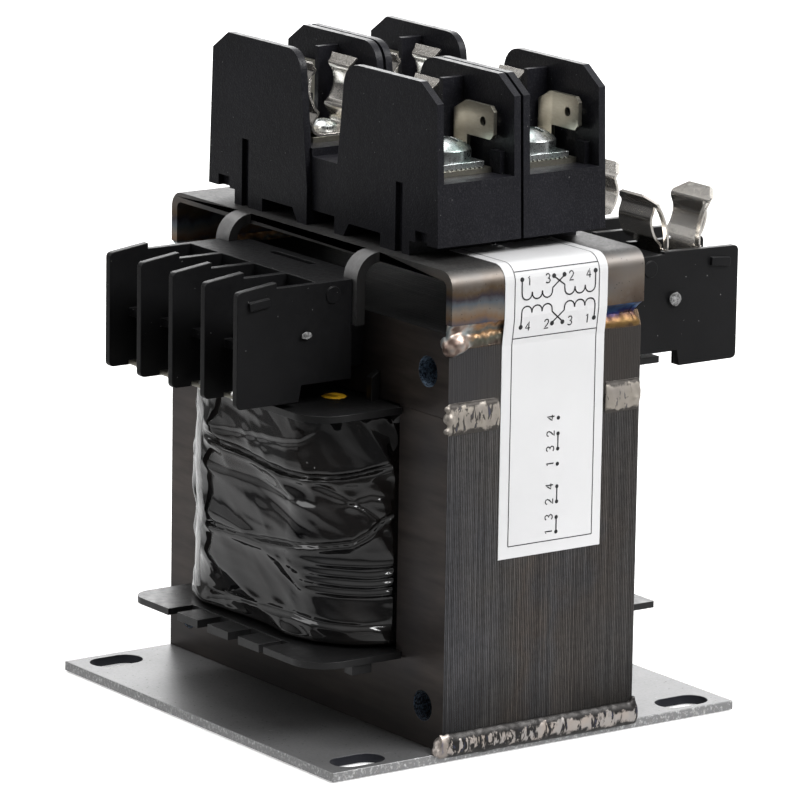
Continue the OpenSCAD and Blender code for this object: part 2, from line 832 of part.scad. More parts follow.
// Square washers under the wire screws
module wire_washers() {
    color("#b3b7ba") for (x = [-pole_x, pole_x], y = [-wire_y, wire_y]) difference() {
        translate([x, y, clip_lo + washer_t / 2])
            cube([washer_w, washer_w, washer_t], center = true);
        translate([x, y, clip_lo - cut]) cylinder(r = wire_shank_r + gap, h = washer_t + 2 * cut);
    }
}

module wire_screws() {
    color("#bfc3c6") for (x = [-pole_x, pole_x], y = [-wire_y, wire_y])
        pan_screw(x, y, clip_lo + washer_t, wire_head_r, wire_head_h, wire_shank_r,
            washer_t + plate_t);
}

module clip_screws() {
    color("#bfc3c6") for (x = [-pole_x, pole_x], y = [-clip_mid, clip_mid])
        pan_screw(x, y, clip_lo + clip_t, clip_head_r, clip_head_h, clip_shank_r,
            clip_t + plate_t);
}

// ---- label and dot ---------------------------------------------------------------

// Stuck to the front of the core, over the weld and round the bend of the bracket
module label() {
    y0 = bracket_y;
    r = bracket_bend;
    end_y = foot_y + gap;
    low = core_top - groove_h - 0.6;
    weld_top = core_top + weld_gap;
    inner = concat(
        [[-hy, label_z], [-hy, low], [-y0, weld_top]],
        arc([r - y0, bracket_top - r], r, 180, 90, 8),
        [[-end_y, bracket_top]]
    );
    outer = concat(
        [[-hy - label_t, label_z], [-hy - label_t, low], [-y0 - label_t, weld_top]],
        arc([r - y0, bracket_top - r], r + label_t, 180, 90, 8),
        [[-end_y, bracket_top + label_t]]
    );
    color("#f2f2ef") along_x(label_x - label_w / 2, label_x + label_w / 2)
        polygon(concat(inner, reversed(outer)));
}

module paint_dot() {
    dot_t = 0.12;
    color("#f0c000") translate([14.4 - flange_x, -17.4, flange_hi + flange_t])
        cylinder(r = 2.4, h = dot_t);
}

base_plate();
core_e_stack();
core_i_stack();
base_weld_front();
base_weld_back();
joint_weld_front();
joint_weld_back();
bracket_weld_front();
bracket_weld_back();
top_bracket();
bobbin();
winding();
primary_block();
primary_terminals();
primary_screws();
secondary_block();
secondary_terminals();
secondary_screws();
secondary_clip_front();
secondary_clip_back();
fuse_holder_left();
fuse_holder_right();
terminal_plate_left_front();
terminal_plate_left_back();
terminal_plate_right_front();
terminal_plate_right_back();
fuse_clip_left_front();
fuse_clip_left_back();
fuse_clip_right_front();
fuse_clip_right_back();
wire_washers();
wire_screws();
clip_screws();
label();
paint_dot();
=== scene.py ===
import math
import random

import bmesh
import bpy
import numpy as np
from mathutils import Matrix, Vector, noise
from mathutils.bvhtree import BVHTree


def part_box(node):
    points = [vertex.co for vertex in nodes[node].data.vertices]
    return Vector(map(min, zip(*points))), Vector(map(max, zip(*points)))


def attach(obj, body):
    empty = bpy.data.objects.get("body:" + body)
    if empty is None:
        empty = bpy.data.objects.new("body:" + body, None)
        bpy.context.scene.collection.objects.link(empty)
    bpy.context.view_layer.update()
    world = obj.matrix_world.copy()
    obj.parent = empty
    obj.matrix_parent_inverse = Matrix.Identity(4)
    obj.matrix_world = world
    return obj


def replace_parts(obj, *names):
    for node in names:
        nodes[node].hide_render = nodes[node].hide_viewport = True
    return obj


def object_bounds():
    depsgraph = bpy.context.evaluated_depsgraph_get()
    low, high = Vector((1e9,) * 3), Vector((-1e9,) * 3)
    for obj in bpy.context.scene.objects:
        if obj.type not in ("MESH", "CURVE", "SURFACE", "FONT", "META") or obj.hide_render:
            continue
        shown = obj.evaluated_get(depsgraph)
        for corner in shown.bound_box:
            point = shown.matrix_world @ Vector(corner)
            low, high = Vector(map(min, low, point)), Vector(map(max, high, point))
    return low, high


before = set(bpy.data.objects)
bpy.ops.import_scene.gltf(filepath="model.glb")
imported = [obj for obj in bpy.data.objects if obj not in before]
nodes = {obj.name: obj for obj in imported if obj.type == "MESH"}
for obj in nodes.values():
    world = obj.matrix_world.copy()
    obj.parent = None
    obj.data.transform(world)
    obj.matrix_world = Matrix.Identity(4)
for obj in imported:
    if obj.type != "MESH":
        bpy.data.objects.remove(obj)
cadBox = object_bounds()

mm = 0.001


def low(node):
    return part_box(node)[0]


def high(node):
    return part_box(node)[1]


def grey(value):
    return (value, value, value)


def newObject(name, data):
    thing = bpy.data.objects.new(name, data)
    bpy.context.collection.objects.link(thing)
    return thing


def sheetFaces(start, rows, across):
    # faces over points that lie in rows, with one point more than faces across
    wide = across + 1
    return [(a, a + 1, a + wide + 1, a + wide) for k in range(rows)
            for a in range(start + k * wide, start + k * wide + across)]


def ringFaces(a, b, start, stop):
    # faces between two closed rings of points, which begin at a and b
    pairs = [(i, i + 1 if i + 1 < stop else start) for i in range(start, stop)]
    return [(a + i, a + j, b + j, b + i) for i, j in pairs]


# Camera, lights and floor

view = {
    "aim": (-0.0008, -0.0009, 0.0578),
    "distance": 1.1862,
    "turn": -35.513,  # degrees round the object, 0 looks straight at the labelled front
    "rise": 12.838,
    "roll": 0.93,
    "lens": 278.86, "sensor": 36, "farthest": 20,
}


def makeCamera():
    turn, rise = math.radians(view["turn"]), math.radians(view["rise"])
    back = Vector((math.sin(turn) * math.cos(rise), -math.cos(turn) * math.cos(rise), math.sin(rise)))
    right = Vector((0, 0, 1)).cross(back).normalized()
    up = back.cross(right)
    turnedFrame = Matrix((right, up, back)).transposed()
    data = bpy.data.cameras.new("camera")
    data.lens = view["lens"]
    data.sensor_width = view["sensor"]
    data.clip_end = view["farthest"]
    camera = newObject("camera", data)
    roll = Matrix.Rotation(math.radians(view["roll"]), 3, back)
    camera.matrix_world = (roll @ turnedFrame).to_4x4()
    camera.location = Vector(view["aim"]) + view["distance"] * back
    bpy.context.scene.camera = camera


lamps = {
    # name: (direction it comes from, distance, size across, size up, watts)
    "leftPanel": ((-0.80, 0.45, 0.55), 1.10, 0.50, 0.60, 2.0),
    "frontPanel": ((0.30, -0.70, 0.74), 1.15, 0.70, 0.50, 16.5),
    "topPanel": ((-0.10, 0.25, 1.0), 0.95, 0.55, 0.45, 5.0),
    "backPanel": ((0.45, 0.85, 0.35), 1.00, 0.90, 0.60, 5.0),
}
lampsAim = Vector((0, 0, 0.06))


def makeLamps():
    for name, (direction, distance, across, tall, watts) in lamps.items():
        data = bpy.data.lights.new(name, "AREA")
        data.shape = "RECTANGLE"
        data.size = across
        data.size_y = tall
        data.energy = watts
        lamp = newObject(name, data)
        away = Vector(direction).normalized()
        lamp.location = lampsAim + away * distance
        lamp.rotation_euler = away.to_track_quat("Z", "Y").to_euler()


# Node trees are written with this

class Tree:
    def __init__(self, tree):
        self.tree = tree
        tree.nodes.clear()

    def add(self, kind, inputs=None, **settings):
        node = self.tree.nodes.new(kind)
        for key, value in settings.items():
            setattr(node, key, value)
        for key, value in (inputs or {}).items():
            self.put(node.inputs[key], value)
        return node

    def put(self, socket, value):
        if isinstance(value, bpy.types.NodeSocket):
            self.tree.links.new(value, socket)
        else:
            if socket.type == "RGBA" and len(value) == 3:
                value = (*value, 1)
            socket.default_value = value

    def math(self, operation, a, b=0.0, c=0.0):
        return self.add("ShaderNodeMath", {0: a, 1: b, 2: c}, operation=operation).outputs[0]

    def plus(self, a, b):
        return self.math("ADD", a, b)

    def minus(self, a, b):
        return self.math("SUBTRACT", a, b)

    def times(self, a, b):
        return self.math("MULTIPLY", a, b)

    def larger(self, a, b):
        return self.math("MAXIMUM", a, b)

    def over(self, a, b):
        return self.math("GREATER_THAN", a, b)

    def under(self, a, b):
        return self.math("LESS_THAN", a, b)

    def unsigned(self, a):
        return self.math("ABSOLUTE", a)

    def place(self, scale=(1, 1, 1), turn=(0, 0, 0)):
        at = self.add("ShaderNodeTexCoord").outputs["Object"]
        turned = self.add("ShaderNodeMapping", {"Vector": at, "Scale": scale, "Rotation": turn})
        return turned.outputs[0]

    def axes(self):
        at = self.add("ShaderNodeTexCoord").outputs["Object"]
        return self.add("ShaderNodeSeparateXYZ", {0: at}).outputs

    def facing(self):
        normal = self.add("ShaderNodeNewGeometry").outputs["Normal"]
        return self.add("ShaderNodeSeparateXYZ", {0: normal}).outputs

    def cloud(self, size, detail=3.0, rough=0.5, stretch=(1, 1, 1), distort=0.0, turn=(0, 0, 0)):
        # noise with features about size millimetres across
        at = self.place(tuple(1000 / size * s for s in stretch), turn)
        return self.add("ShaderNodeTexNoise", {
            "Vector": at, "Scale": 1.0, "Detail": detail, "Roughness": rough,
            "Distortion": distort}).outputs["Fac"]

    def specks(self, size, reach):
        # small dots, one at most in each cell of size millimetres
        at = self.place((1000 / size,) * 3)
        cell = self.add("ShaderNodeTexVoronoi", {"Vector": at, "Scale": 1.0, "Randomness": 1.0})
        return self.math("LESS_THAN", cell.outputs["Distance"], reach)

    def span(self, value, a, b, c=0.0, d=1.0):
        # a value between a and b becomes one between c and d
        return self.add("ShaderNodeMapRange", {
            "Value": value, "From Min": a, "From Max": b, "To Min": c, "To Max": d}).outputs[0]

    def spread(self, cloud, c=0.0, d=1.0):
        # a cloud keeps mostly between 0.3 and 0.7
        return self.span(cloud, 0.3, 0.7, c, d)

    def mix(self, share, a, b, blend="MIX"):
        node = self.add("ShaderNodeMix", data_type="RGBA", blend_type=blend)
        self.put(node.inputs[0], share)
        self.put(node.inputs[6], a)
        self.put(node.inputs[7], b)
        return node.outputs[2]

    def ramp(self, value, stops):
        node = self.add("ShaderNodeValToRGB", {0: value})
        points = node.color_ramp.elements
        points[0].position, points[0].color = stops[0][0], (*stops[0][1], 1)
        points[1].position, points[1].color = stops[-1][0], (*stops[-1][1], 1)
        for position, colour in stops[1:-1]:
            points.new(position).color = (*colour, 1)
        return node.outputs[0]

    def bump(self, height, depth, strength=1.0, under=None):
        # depth in millimetres between a height of 0 and 1
        inputs = {"Height": height, "Distance": depth * mm, "Strength": strength}
        if under is not None:
            inputs["Normal"] = under
        return self.add("ShaderNodeBump", inputs).outputs[0]

    def surface(self, colour, rough, normal=None, **fixed):
        inputs = {"Base Color": colour, "Roughness": rough}
        if normal is not None:
            inputs["Normal"] = normal
        for key, value in fixed.items():
            inputs[key.replace("_", " ")] = value
        shader = self.add("ShaderNodeBsdfPrincipled", inputs)
        self.add("ShaderNodeOutputMaterial", {"Surface": shader.outputs[0]})


def makeFinish(name, recipe, *look):
    # a recipe draws its nodes in the new material's tree
    material = bpy.data.materials.new(name)
    material.use_nodes = True
    recipe(Tree(material.node_tree), *look)
    return material


room = {
    # two heights or directions, from -1 to 1, then how bright the room is at each
    "wall": (-0.10, 0.70, 0.0, 0.45), "ceiling": (0.2, 0.9),
    "skirting": (-0.12, 0.14, -0.09, 0.14),  # nothing but dark below the edge of the floor
    "ceilingLight": 0.20, "ceilingShine": 0.25, "everywhere": 0.10,
}
white = (1, 1, 1, 1)


def makeWorld():
    world = bpy.data.worlds.new("studio")
    bpy.context.scene.world = world
    world.use_nodes = True
    t = Tree(world.node_tree)
    path = t.add("ShaderNodeLightPath").outputs
    seen = t.larger(path["Is Camera Ray"], path["Is Transmission Ray"])
    # a pale wall behind, a dim room in front
    heading = t.add("ShaderNodeTexCoord").outputs["Generated"]
    turn = math.radians(view["turn"])
    wall = t.add("ShaderNodeVectorMath", {0: heading, 1: (-math.sin(turn), math.cos(turn), 0)},
                 operation="DOT_PRODUCT").outputs["Value"]
    rise = t.add("ShaderNodeSeparateXYZ", {0: heading}).outputs["Z"]
    behind, above = t.span(wall, *room["wall"]), t.span(rise, *room["ceiling"])
    shine = t.plus(t.span(rise, *room["skirting"]), t.times(above, room["ceilingShine"]))
    glossy = t.times(path["Is Glossy Ray"], t.larger(shine, behind))
    light = t.plus(t.plus(behind, t.times(above, room["ceilingLight"])), glossy)
    strength = t.larger(seen, t.plus(light, room["everywhere"]))
    glow = t.add("ShaderNodeBackground", {"Color": white, "Strength": strength})
    t.add("ShaderNodeOutputWorld", {"Surface": glow.outputs[0]})


floor = {
    "half": 3.0, "front": 0.16, "back": 1.6, "bend": 0.5, "tall": 2.2, "steps": 8,
    "below": 0.0002,  # how far it lies under the object
    "colour": grey(0.82), "glow": 0.42,
    # what shines in metal and film is pale behind, and dim at the front and far left:
    # two places between which it changes, then its strength at each
    "skew": 0.2, "near": (-0.16, -0.10, 0.08, 0.52), "far": (-0.10, 0.08, 0.0, 0.42),
    "left": (-0.22, -0.52, 1.0, 0.18),
}


def paleFloor(t):
    path = t.add("ShaderNodeLightPath").outputs
    matt = t.add("ShaderNodeBsdfDiffuse", {"Color": floor["colour"]})
    seen = t.times(path["Is Camera Ray"], floor["glow"])
    glow = t.add("ShaderNodeEmission", {"Color": white, "Strength": seen})
    both = t.add("ShaderNodeAddShader", {0: matt.outputs[0], 1: glow.outputs[0]})
    at = t.axes()
    inward = t.math("MULTIPLY_ADD", at["X"], floor["skew"], at["Y"])
    depth = t.plus(t.span(inward, *floor["near"]), t.span(inward, *floor["far"]))
    shine = t.times(depth, t.span(at["X"], *floor["left"]))
    mirrored = t.add("ShaderNodeEmission", {"Color": white, "Strength": shine})
    mixed = t.add("ShaderNodeMixShader", {
        0: path["Is Glossy Ray"], 1: both.outputs[0], 2: mirrored.outputs[0]})
    t.add("ShaderNodeOutputMaterial", {"Surface": mixed.outputs[0]})


def makeFloor():
    # flat, then bent up into a wall
    bend, foot = floor["bend"], floor["back"] - floor["bend"]
    outline = [(-floor["front"], 0.0), (foot, 0.0)]
    for k in range(1, floor["steps"] + 1):
        angle = k / floor["steps"] * math.pi / 2
        outline.append((foot + bend * math.sin(angle), bend - bend * math.cos(angle)))
    outline.append((floor["back"], floor["tall"]))
    points = [(x, y, z) for y, z in outline for x in (-floor["half"], floor["half"])]
    mesh = bpy.data.meshes.new("sweep")
    mesh.from_pydata(points, [], sheetFaces(0, len(outline) - 1, 1))
    mesh.shade_smooth()
    mesh.materials.append(makeFinish("paleFloor", paleFloor))
    sweep = newObject("sweep", mesh)
    turn = Matrix.Rotation(math.radians(view["turn"]), 4, "Z")
    sweep.matrix_world = turn @ Matrix.Translation((0, 0, -floor["below"]))


print("studio")
makeCamera()
makeLamps()
makeWorld()
makeFloor()
bpy.context.scene.view_settings.view_transform = "Standard"


# Finishes

def blackPlastic(t, look):
    fine = t.cloud(look["grain"], 2, 0.6)
    wide = t.cloud(look["grain"] * 6, 3, 0.6)
    dark, pale = (tuple(share * c for c in look["colour"]) for share in (0.8, 1.25))
    tone = t.mix(t.spread(t.cloud(14, 2, 0.5)), dark, pale)
    tone = t.mix(t.span(fine, 0.5, 0.75, 0.0, look["frost"]), tone, (0.05, 0.05, 0.055))
    scuffs = t.over(t.cloud(2.2, 6, 0.7, (1, 1, 0.15)), 0.72)
    tone = t.mix(t.times(scuffs, 0.25), tone, (0.05, 0.05, 0.053))
    spots = t.times(t.specks(look["dust"], 0.06), t.over(wide, 0.56))
    tone = t.mix(spots, tone, grey(0.22))
    sheen = t.spread(wide, look["rough"] - 0.06, look["rough"] + 0.08)
    under = t.bump(fine, look["relief"], 0.6)
    t.surface(tone, sheen, t.bump(wide, look["relief"] * 2, 0.3, under),
              Specular_IOR_Level=look["gloss"])


def coreSteel(t, look):
    # sheet ends are grey and lined, sheet faces are smooth and browned
    at, facing = t.axes(), t.facing()
    sheet = t.math("FLOOR", t.times(at["X"], 1000 / look["sheet"]))
    own = t.add("ShaderNodeTexWhiteNoise", {"W": sheet}, noise_dimensions="1D").outputs["Value"]
    streak = t.spread(t.cloud(0.8, 3, 0.65, (1.6, 0.05, 0.03)))
    lined = t.plus(t.times(own, 0.55), t.times(streak, 0.45))
    wide = t.cloud(13, 4, 0.6, (1, 1, 0.7))
    side = t.math("MULTIPLY_ADD", at["X"], 1000 / look["wide"], 0.5)
    tone = t.ramp(t.plus(side, t.span(wide, 0.2, 0.8, -0.30, 0.30)), [
        (0.0, (0.120, 0.121, 0.130)), (0.3, (0.130, 0.125, 0.122)), (0.45, (0.134, 0.116, 0.104)),
        (0.6, (0.108, 0.107, 0.111)), (0.75, (0.118, 0.106, 0.098)), (1.0, (0.110, 0.107, 0.106))])
    linen = t.spread(t.cloud(0.7, 4, 0.7, (1, 1, 0.6)), -0.25, 0.25)
    # the upper sheets were browned by the welding and look smoother
    calm = t.span(at["Z"], *look["browned"], 0.0, 0.80)
    lined = t.plus(t.times(t.plus(lined, linen), t.minus(1.0, calm)), t.times(calm, 0.40))
    shade = t.ramp(lined, [(0.1, grey(0.44)), (0.5, grey(0.66)), (0.9, (0.92, 0.92, 0.91))])
    ends = t.mix(t.times(calm, 0.5), t.mix(1.0, tone, shade, "MULTIPLY"), (0.048, 0.041, 0.037))
    foot = t.span(t.plus(at["Z"], t.spread(wide, -0.004, 0.004)), *look["foot"], 0.28, 1.0)
    foot = t.add("ShaderNodeCombineColor", {0: foot, 1: foot, 2: foot}).outputs[0]
    ends = t.mix(1.0, ends, foot, "MULTIPLY")
    # the slopes beside the bracket are scorched, and the top that it covers is painted near black as
    # the bracket's shade
    hot = t.mix(t.span(t.cloud(2.5, 4, 0.6), 0.4, 0.65), (0.045, 0.038, 0.034), (0.12, 0.08, 0.05))
    slope = t.over(at["Z"], look["slope"])
    shadedTop = t.times(t.over(facing["Z"], 0.8), slope)
    ends = t.mix(shadedTop, t.mix(slope, ends, hot), grey(0.003))
    # the holes through the stack are dark inside, with bluish specks
    holes = None
    for y, z in look["holes"]:
        aside = t.math("POWER", t.minus(t.unsigned(at["Y"]), y), 2.0)
        along = t.math("POWER", t.minus(at["Z"], z), 2.0)
        near = t.under(t.plus(aside, along), look["holeRadius"] ** 2)
        holes = near if holes is None else t.larger(holes, near)
    specks = t.span(t.cloud(0.5, 3, 0.7), 0.42, 0.62)
    ends = t.mix(holes, ends, t.mix(specks, (0.010, 0.016, 0.026), (0.17, 0.24, 0.33)))
    rolled = t.spread(t.cloud(5, 4, 0.6, (1, 0.25, 1.6)))
    face = t.mix(rolled, (0.038, 0.031, 0.028), (0.084, 0.069, 0.060))
    face = t.mix(t.span(t.cloud(22, 2, 0.5), 0.35, 0.7, 0.0, 0.6), face, (0.034, 0.034, 0.038))
    face = t.mix(t.span(at["Z"], *look["faceFoot"], 0.45, 1.0), (0.012, 0.011, 0.011), face)
    isFace = t.over(t.unsigned(facing["X"]), 0.7)
    rough = t.mix(isFace, t.mix(shadedTop, grey(0.47), grey(0.75)), grey(0.33))
    scratch = t.cloud(0.5, 4, 0.7, (1, 0.2, 1))
    t.surface(t.mix(isFace, ends, face), t.plus(rough, t.spread(wide, -0.05, 0.07)),
              t.bump(scratch, 0.012, 0.5), Metallic=0.55, Specular_IOR_Level=0.25)


def tintedSteel(t, look):
    # mill scale, with the colours of welding heat near the weld
    at = t.axes()
    uneven = t.span(t.cloud(9, 4, 0.6, (1, 1, 0.6)), 0.25, 0.75, -0.11, 0.11)
    rise = t.plus(t.span(at["Z"], look["low"] * mm, look["high"] * mm), uneven)
    right = t.span(at["X"], 0.006, 0.018)
    leftTint = t.ramp(rise, [
        (0.0, (0.05, 0.055, 0.07)), (0.14, (0.12, 0.13, 0.15)), (0.24, (0.09, 0.10, 0.14)),
        (0.34, (0.24, 0.15, 0.09)), (0.42, (0.26, 0.22, 0.18)), (0.52, (0.13, 0.15, 0.17)),
        (0.60, (0.055, 0.045, 0.055)), (0.68, (0.11, 0.075, 0.045)), (0.78, (0.15, 0.125, 0.105)),
        (1.0, (0.15, 0.145, 0.14))])
    rightTint = t.ramp(rise, [
        (0.0, (0.015, 0.022, 0.10)), (0.10, (0.03, 0.04, 0.13)), (0.18, (0.06, 0.035, 0.04)),
        (0.26, (0.085, 0.062, 0.048)), (0.42, (0.14, 0.108, 0.085)), (0.60, (0.21, 0.178, 0.152)),
        (1.0, (0.17, 0.165, 0.16))])
    heat = t.mix(right, leftTint, rightTint)
    near = t.span(t.unsigned(at["Y"]), look["edge"] * mm, (look["edge"] + 5) * mm)
    patches = t.spread(t.cloud(7, 4, 0.6, (1, 0.5, 1)))
    scale = t.mix(patches, (0.055, 0.054, 0.054), (0.10, 0.098, 0.095))
    colour = t.mix(near, scale, heat)
    blotch = t.cloud(1.4, 5, 0.65)
    colour = t.mix(t.span(blotch, 0.52, 0.72, 0.0, 0.25), colour, (0.20, 0.19, 0.18))
    colour = t.mix(t.times(t.specks(1.1, 0.10), 0.7), colour, grey(0.03))
    scratches = t.over(t.cloud(0.9, 5, 0.75, (0.08, 1, 1.5)), 0.73)
    colour = t.mix(t.times(scratches, 0.35), colour, (0.30, 0.29, 0.28))
    isTop = t.span(t.facing()["Z"], 0.75, 0.98)
    grit = t.mix(t.span(t.cloud(0.6, 4, 0.7), 0.4, 0.6), (0.038, 0.037, 0.037), (0.085, 0.084, 0.083))
    colour = t.mix(t.times(isTop, 0.85), colour, grit)
    # the curled tabs at the sides are bare and pale
    tab = t.span(t.unsigned(at["X"]), look["tab"] * mm, (look["tab"] + 0.8) * mm)
    sheared = t.over(t.unsigned(t.facing()["Y"]), 0.7)
    bare = t.mix(t.spread(blotch), (0.17, 0.168, 0.168), (0.24, 0.237, 0.236))
    colour = t.mix(tab, colour, t.mix(sheared, bare, (0.045, 0.044, 0.044)))
    rough = t.plus(t.spread(blotch, 0.42, 0.52), t.times(isTop, 0.06))
    t.surface(colour, rough, t.bump(blotch, 0.02, 0.35), Metallic=0.80)


def plateSteel(t, look):
    wide = t.cloud(18, 3, 0.55)
    fine = t.cloud(0.55, 4, 0.7)
    tone = t.mix(t.spread(wide), (0.150, 0.150, 0.152), (0.185, 0.185, 0.187))
    tone = t.mix(t.span(fine, 0.5, 0.75, 0.0, 0.25), tone, (0.10, 0.10, 0.103))
    tone = t.mix(t.times(t.specks(1.6, 0.11), 0.8), tone, (0.02, 0.02, 0.023))
    scratches = t.over(t.cloud(0.8, 5, 0.75, (0.07, 1, 1), 0, (0, 0, 0.5)), 0.70)
    tone = t.mix(t.times(scratches, 0.5), tone, grey(0.55))
    sheared = t.cloud(0.6, 4, 0.7, (1, 1, 0.8))
    cut = t.mix(t.span(sheared, 0.52, 0.72), (0.26, 0.26, 0.262), grey(0.72))
    at = t.axes()
    outX, outY = (t.minus(t.unsigned(at[axis]), look[axis]) for axis in "XY")
    cut = t.mix(t.over(t.larger(outX, outY), -look["cutEdge"]), (0.020, 0.021, 0.027), cut)
    isTop = t.over(t.unsigned(t.facing()["Z"]), 0.7)
    colour = t.mix(isTop, cut, tone)
    t.surface(colour, t.spread(fine, 0.38, 0.46), t.bump(fine, 0.010, 0.4),
              Metallic=0.5, Specular_IOR_Level=0.3)


def weldMetal(t, look):
    # a bright patchy band along the middle, dark and smooth above and below
    at = t.axes()
    ragged = t.spread(t.cloud(2.2, 3, 0.6), -0.0007, 0.0007)
    away = t.unsigned(t.minus(t.plus(at["Z"], ragged), look["middle"] * mm))
    band = t.span(away, (look["half"] - 0.3) * mm, (look["half"] + 0.2) * mm, 1.0, 0.0)
    marks = t.cloud(1.25, 3, 0.6, (1.3, 1, 0.40), 0.6, (0, look["lean"], 0))
    often = t.span(at["X"], -0.022, 0.022, look["marks"], look["marks"] - 0.10)
    marked = t.span(t.plus(marks, often), 0.98, 1.04)
    bright = t.mix(t.span(t.cloud(4, 2, 0.5), 0.35, 0.65), look["bright"][0], look["bright"][1])
    # the end of the bead is a bare bright lump
    lump = t.span(t.plus(at["X"], ragged), (look["lump"] - 0.9) * mm, look["lump"] * mm, 0.7, 0.0)
    patchy = t.times(band, t.minus(1.0, marked))
    colour = t.mix(t.larger(patchy, lump), look["dark"], bright)
    rim = t.times(band, t.span(marks, 0.62, 0.70, 0.0, 0.5))
    colour = t.mix(rim, colour, (0.10, 0.11, 0.20))
    fine = t.cloud(0.5, 3, 0.6)
    t.surface(colour, t.spread(fine, look["rough"], look["rough"] + 0.1),
              t.bump(marked, -0.03, 0.4, t.bump(fine, 0.010, 0.5)), Metallic=0.70)


def scorchedWeld(t, look):
    # pearly at the left end, then browned, and blue over gold at the right
    at = t.axes()
    wave = t.spread(t.cloud(2.6, 3, 0.6), -1.0, 1.0)
    along = t.plus(t.times(at["X"], 1000), wave)
    rise = t.plus(t.times(at["Z"], 1000), t.times(wave, 0.6))
    pearl = t.ramp(t.cloud(3.2, 2, 0.5), [
        (0.36, (0.16, 0.11, 0.09)), (0.45, (0.42, 0.33, 0.28)), (0.54, (0.46, 0.47, 0.46)),
        (0.62, (0.20, 0.26, 0.28)), (0.7, (0.36, 0.24, 0.18))])
    brown = t.ramp(t.span(rise, *look["brown"]), [
        (0.0, (0.10, 0.075, 0.06)), (0.25, (0.13, 0.13, 0.10)), (0.45, (0.34, 0.20, 0.10)),
        (0.6, (0.12, 0.13, 0.12)), (0.8, (0.38, 0.21, 0.10)), (1.0, (0.12, 0.12, 0.15))])
    right = t.ramp(t.span(rise, *look["blue"]), [
        (0.0, (0.08, 0.05, 0.03)), (0.14, (0.20, 0.12, 0.04)), (0.34, (0.15, 0.08, 0.035)),
        (0.48, (0.06, 0.03, 0.03)), (0.6, (0.012, 0.02, 0.11)), (0.8, (0.03, 0.09, 0.22)),
        (1.0, (0.05, 0.06, 0.10))])
    left = t.mix(t.span(along, *look["pearlEnds"]), pearl, brown)
    colour = t.mix(t.over(along, look["blueFrom"]), left, right)
    # the bead inside the bracket is painted near black, as the shade under the bracket
    colour = t.mix(t.under(t.unsigned(at["Y"]), look["inside"]), colour, grey(0.006))
    fine = t.cloud(0.6, 3, 0.6)
    t.surface(colour, t.spread(fine, 0.34, 0.44), t.bump(fine, 0.035, 0.5), Metallic=0.75)


def brightMetal(t, look):
    drawn = t.cloud(look["grain"], 3, 0.6, look["stretch"])
    wide = t.cloud(5, 3, 0.5)
    dark = tuple(0.82 * c for c in look["colour"])
    colour = t.mix(t.spread(drawn), dark, look["colour"])
    colour = t.mix(t.span(wide, 0.45, 0.7, 0.0, look["stainShare"]), colour, look["stain"])
    pits = t.times(t.specks(1.3, 0.09), t.over(wide, 0.55))
    colour = t.mix(t.times(pits, look["pits"]), colour, (0.12, 0.11, 0.10))
    t.surface(colour, t.spread(drawn, look["rough"], look["rough"] + 0.10),
              t.bump(drawn, look["relief"], 0.4), Metallic=look["metal"])


def coilFilm(t):
    # black glossy tape film
    wide = t.cloud(13, 2, 0.5)
    colour = t.mix(t.span(wide, 0.35, 0.7), (0.003, 0.003, 0.0035), (0.010, 0.008, 0.007))
    rub = t.over(t.cloud(0.7, 5, 0.7, (1, 1, 0.12)), 0.73)
    colour = t.mix(t.times(rub, 0.35), colour, grey(0.14))
    colour = t.mix(t.specks(4.0, 0.03), colour, grey(0.35))
    ripple = t.cloud(3.0, 2, 0.5, (1, 1, 2.2), 0.3)
    t.surface(colour, t.spread(wide, 0.05, 0.11), t.bump(ripple, 0.02, 0.5),
              Specular_IOR_Level=0.75)


def clearFilm(t):
    creased = t.cloud(2.6, 4, 0.6, (1, 1, 0.35))
    colour = t.ramp(creased, [(0.3, (0.34, 0.34, 0.35)), (0.45, grey(0.80)), (0.7, grey(0.95))])
    t.surface(colour, 0.18, t.bump(creased, 0.05, 0.5), Specular_IOR_Level=0.6)


def labelVinyl(t):
    wide = t.cloud(20, 2, 0.5)
    paper = t.cloud(0.4, 2, 0.5)
    colour = t.mix(t.spread(wide), (0.615, 0.615, 0.62), (0.655, 0.655, 0.66))
    smudge = t.over(t.cloud(2.0, 6, 0.7), 0.73)
    colour = t.mix(t.times(smudge, 0.25), colour, grey(0.5))
    t.surface(colour, t.spread(paper, 0.46, 0.56), t.bump(paper, 0.006, 0.5),
              Specular_IOR_Level=0.3)


def plainPaint(t, colour, rough):
    wide = t.cloud(1.2, 3, 0.6)
    dark, pale = (tuple(min(1, share * c) for c in colour) for share in (0.8, 1.15))
    tone = t.mix(t.spread(wide), dark, pale)
    t.surface(tone, t.spread(wide, rough, rough + 0.12), t.bump(wide, 0.03, 0.5))


def roughMark(t):
    # torn plastic where the mould was fed
    torn = t.cloud(0.7, 4, 0.7)
    colour = t.ramp(torn, [(0.38, grey(0.02)), (0.5, grey(0.16)), (0.66, grey(0.30))])
    t.surface(colour, 0.6, t.bump(torn, 0.12, 0.7))


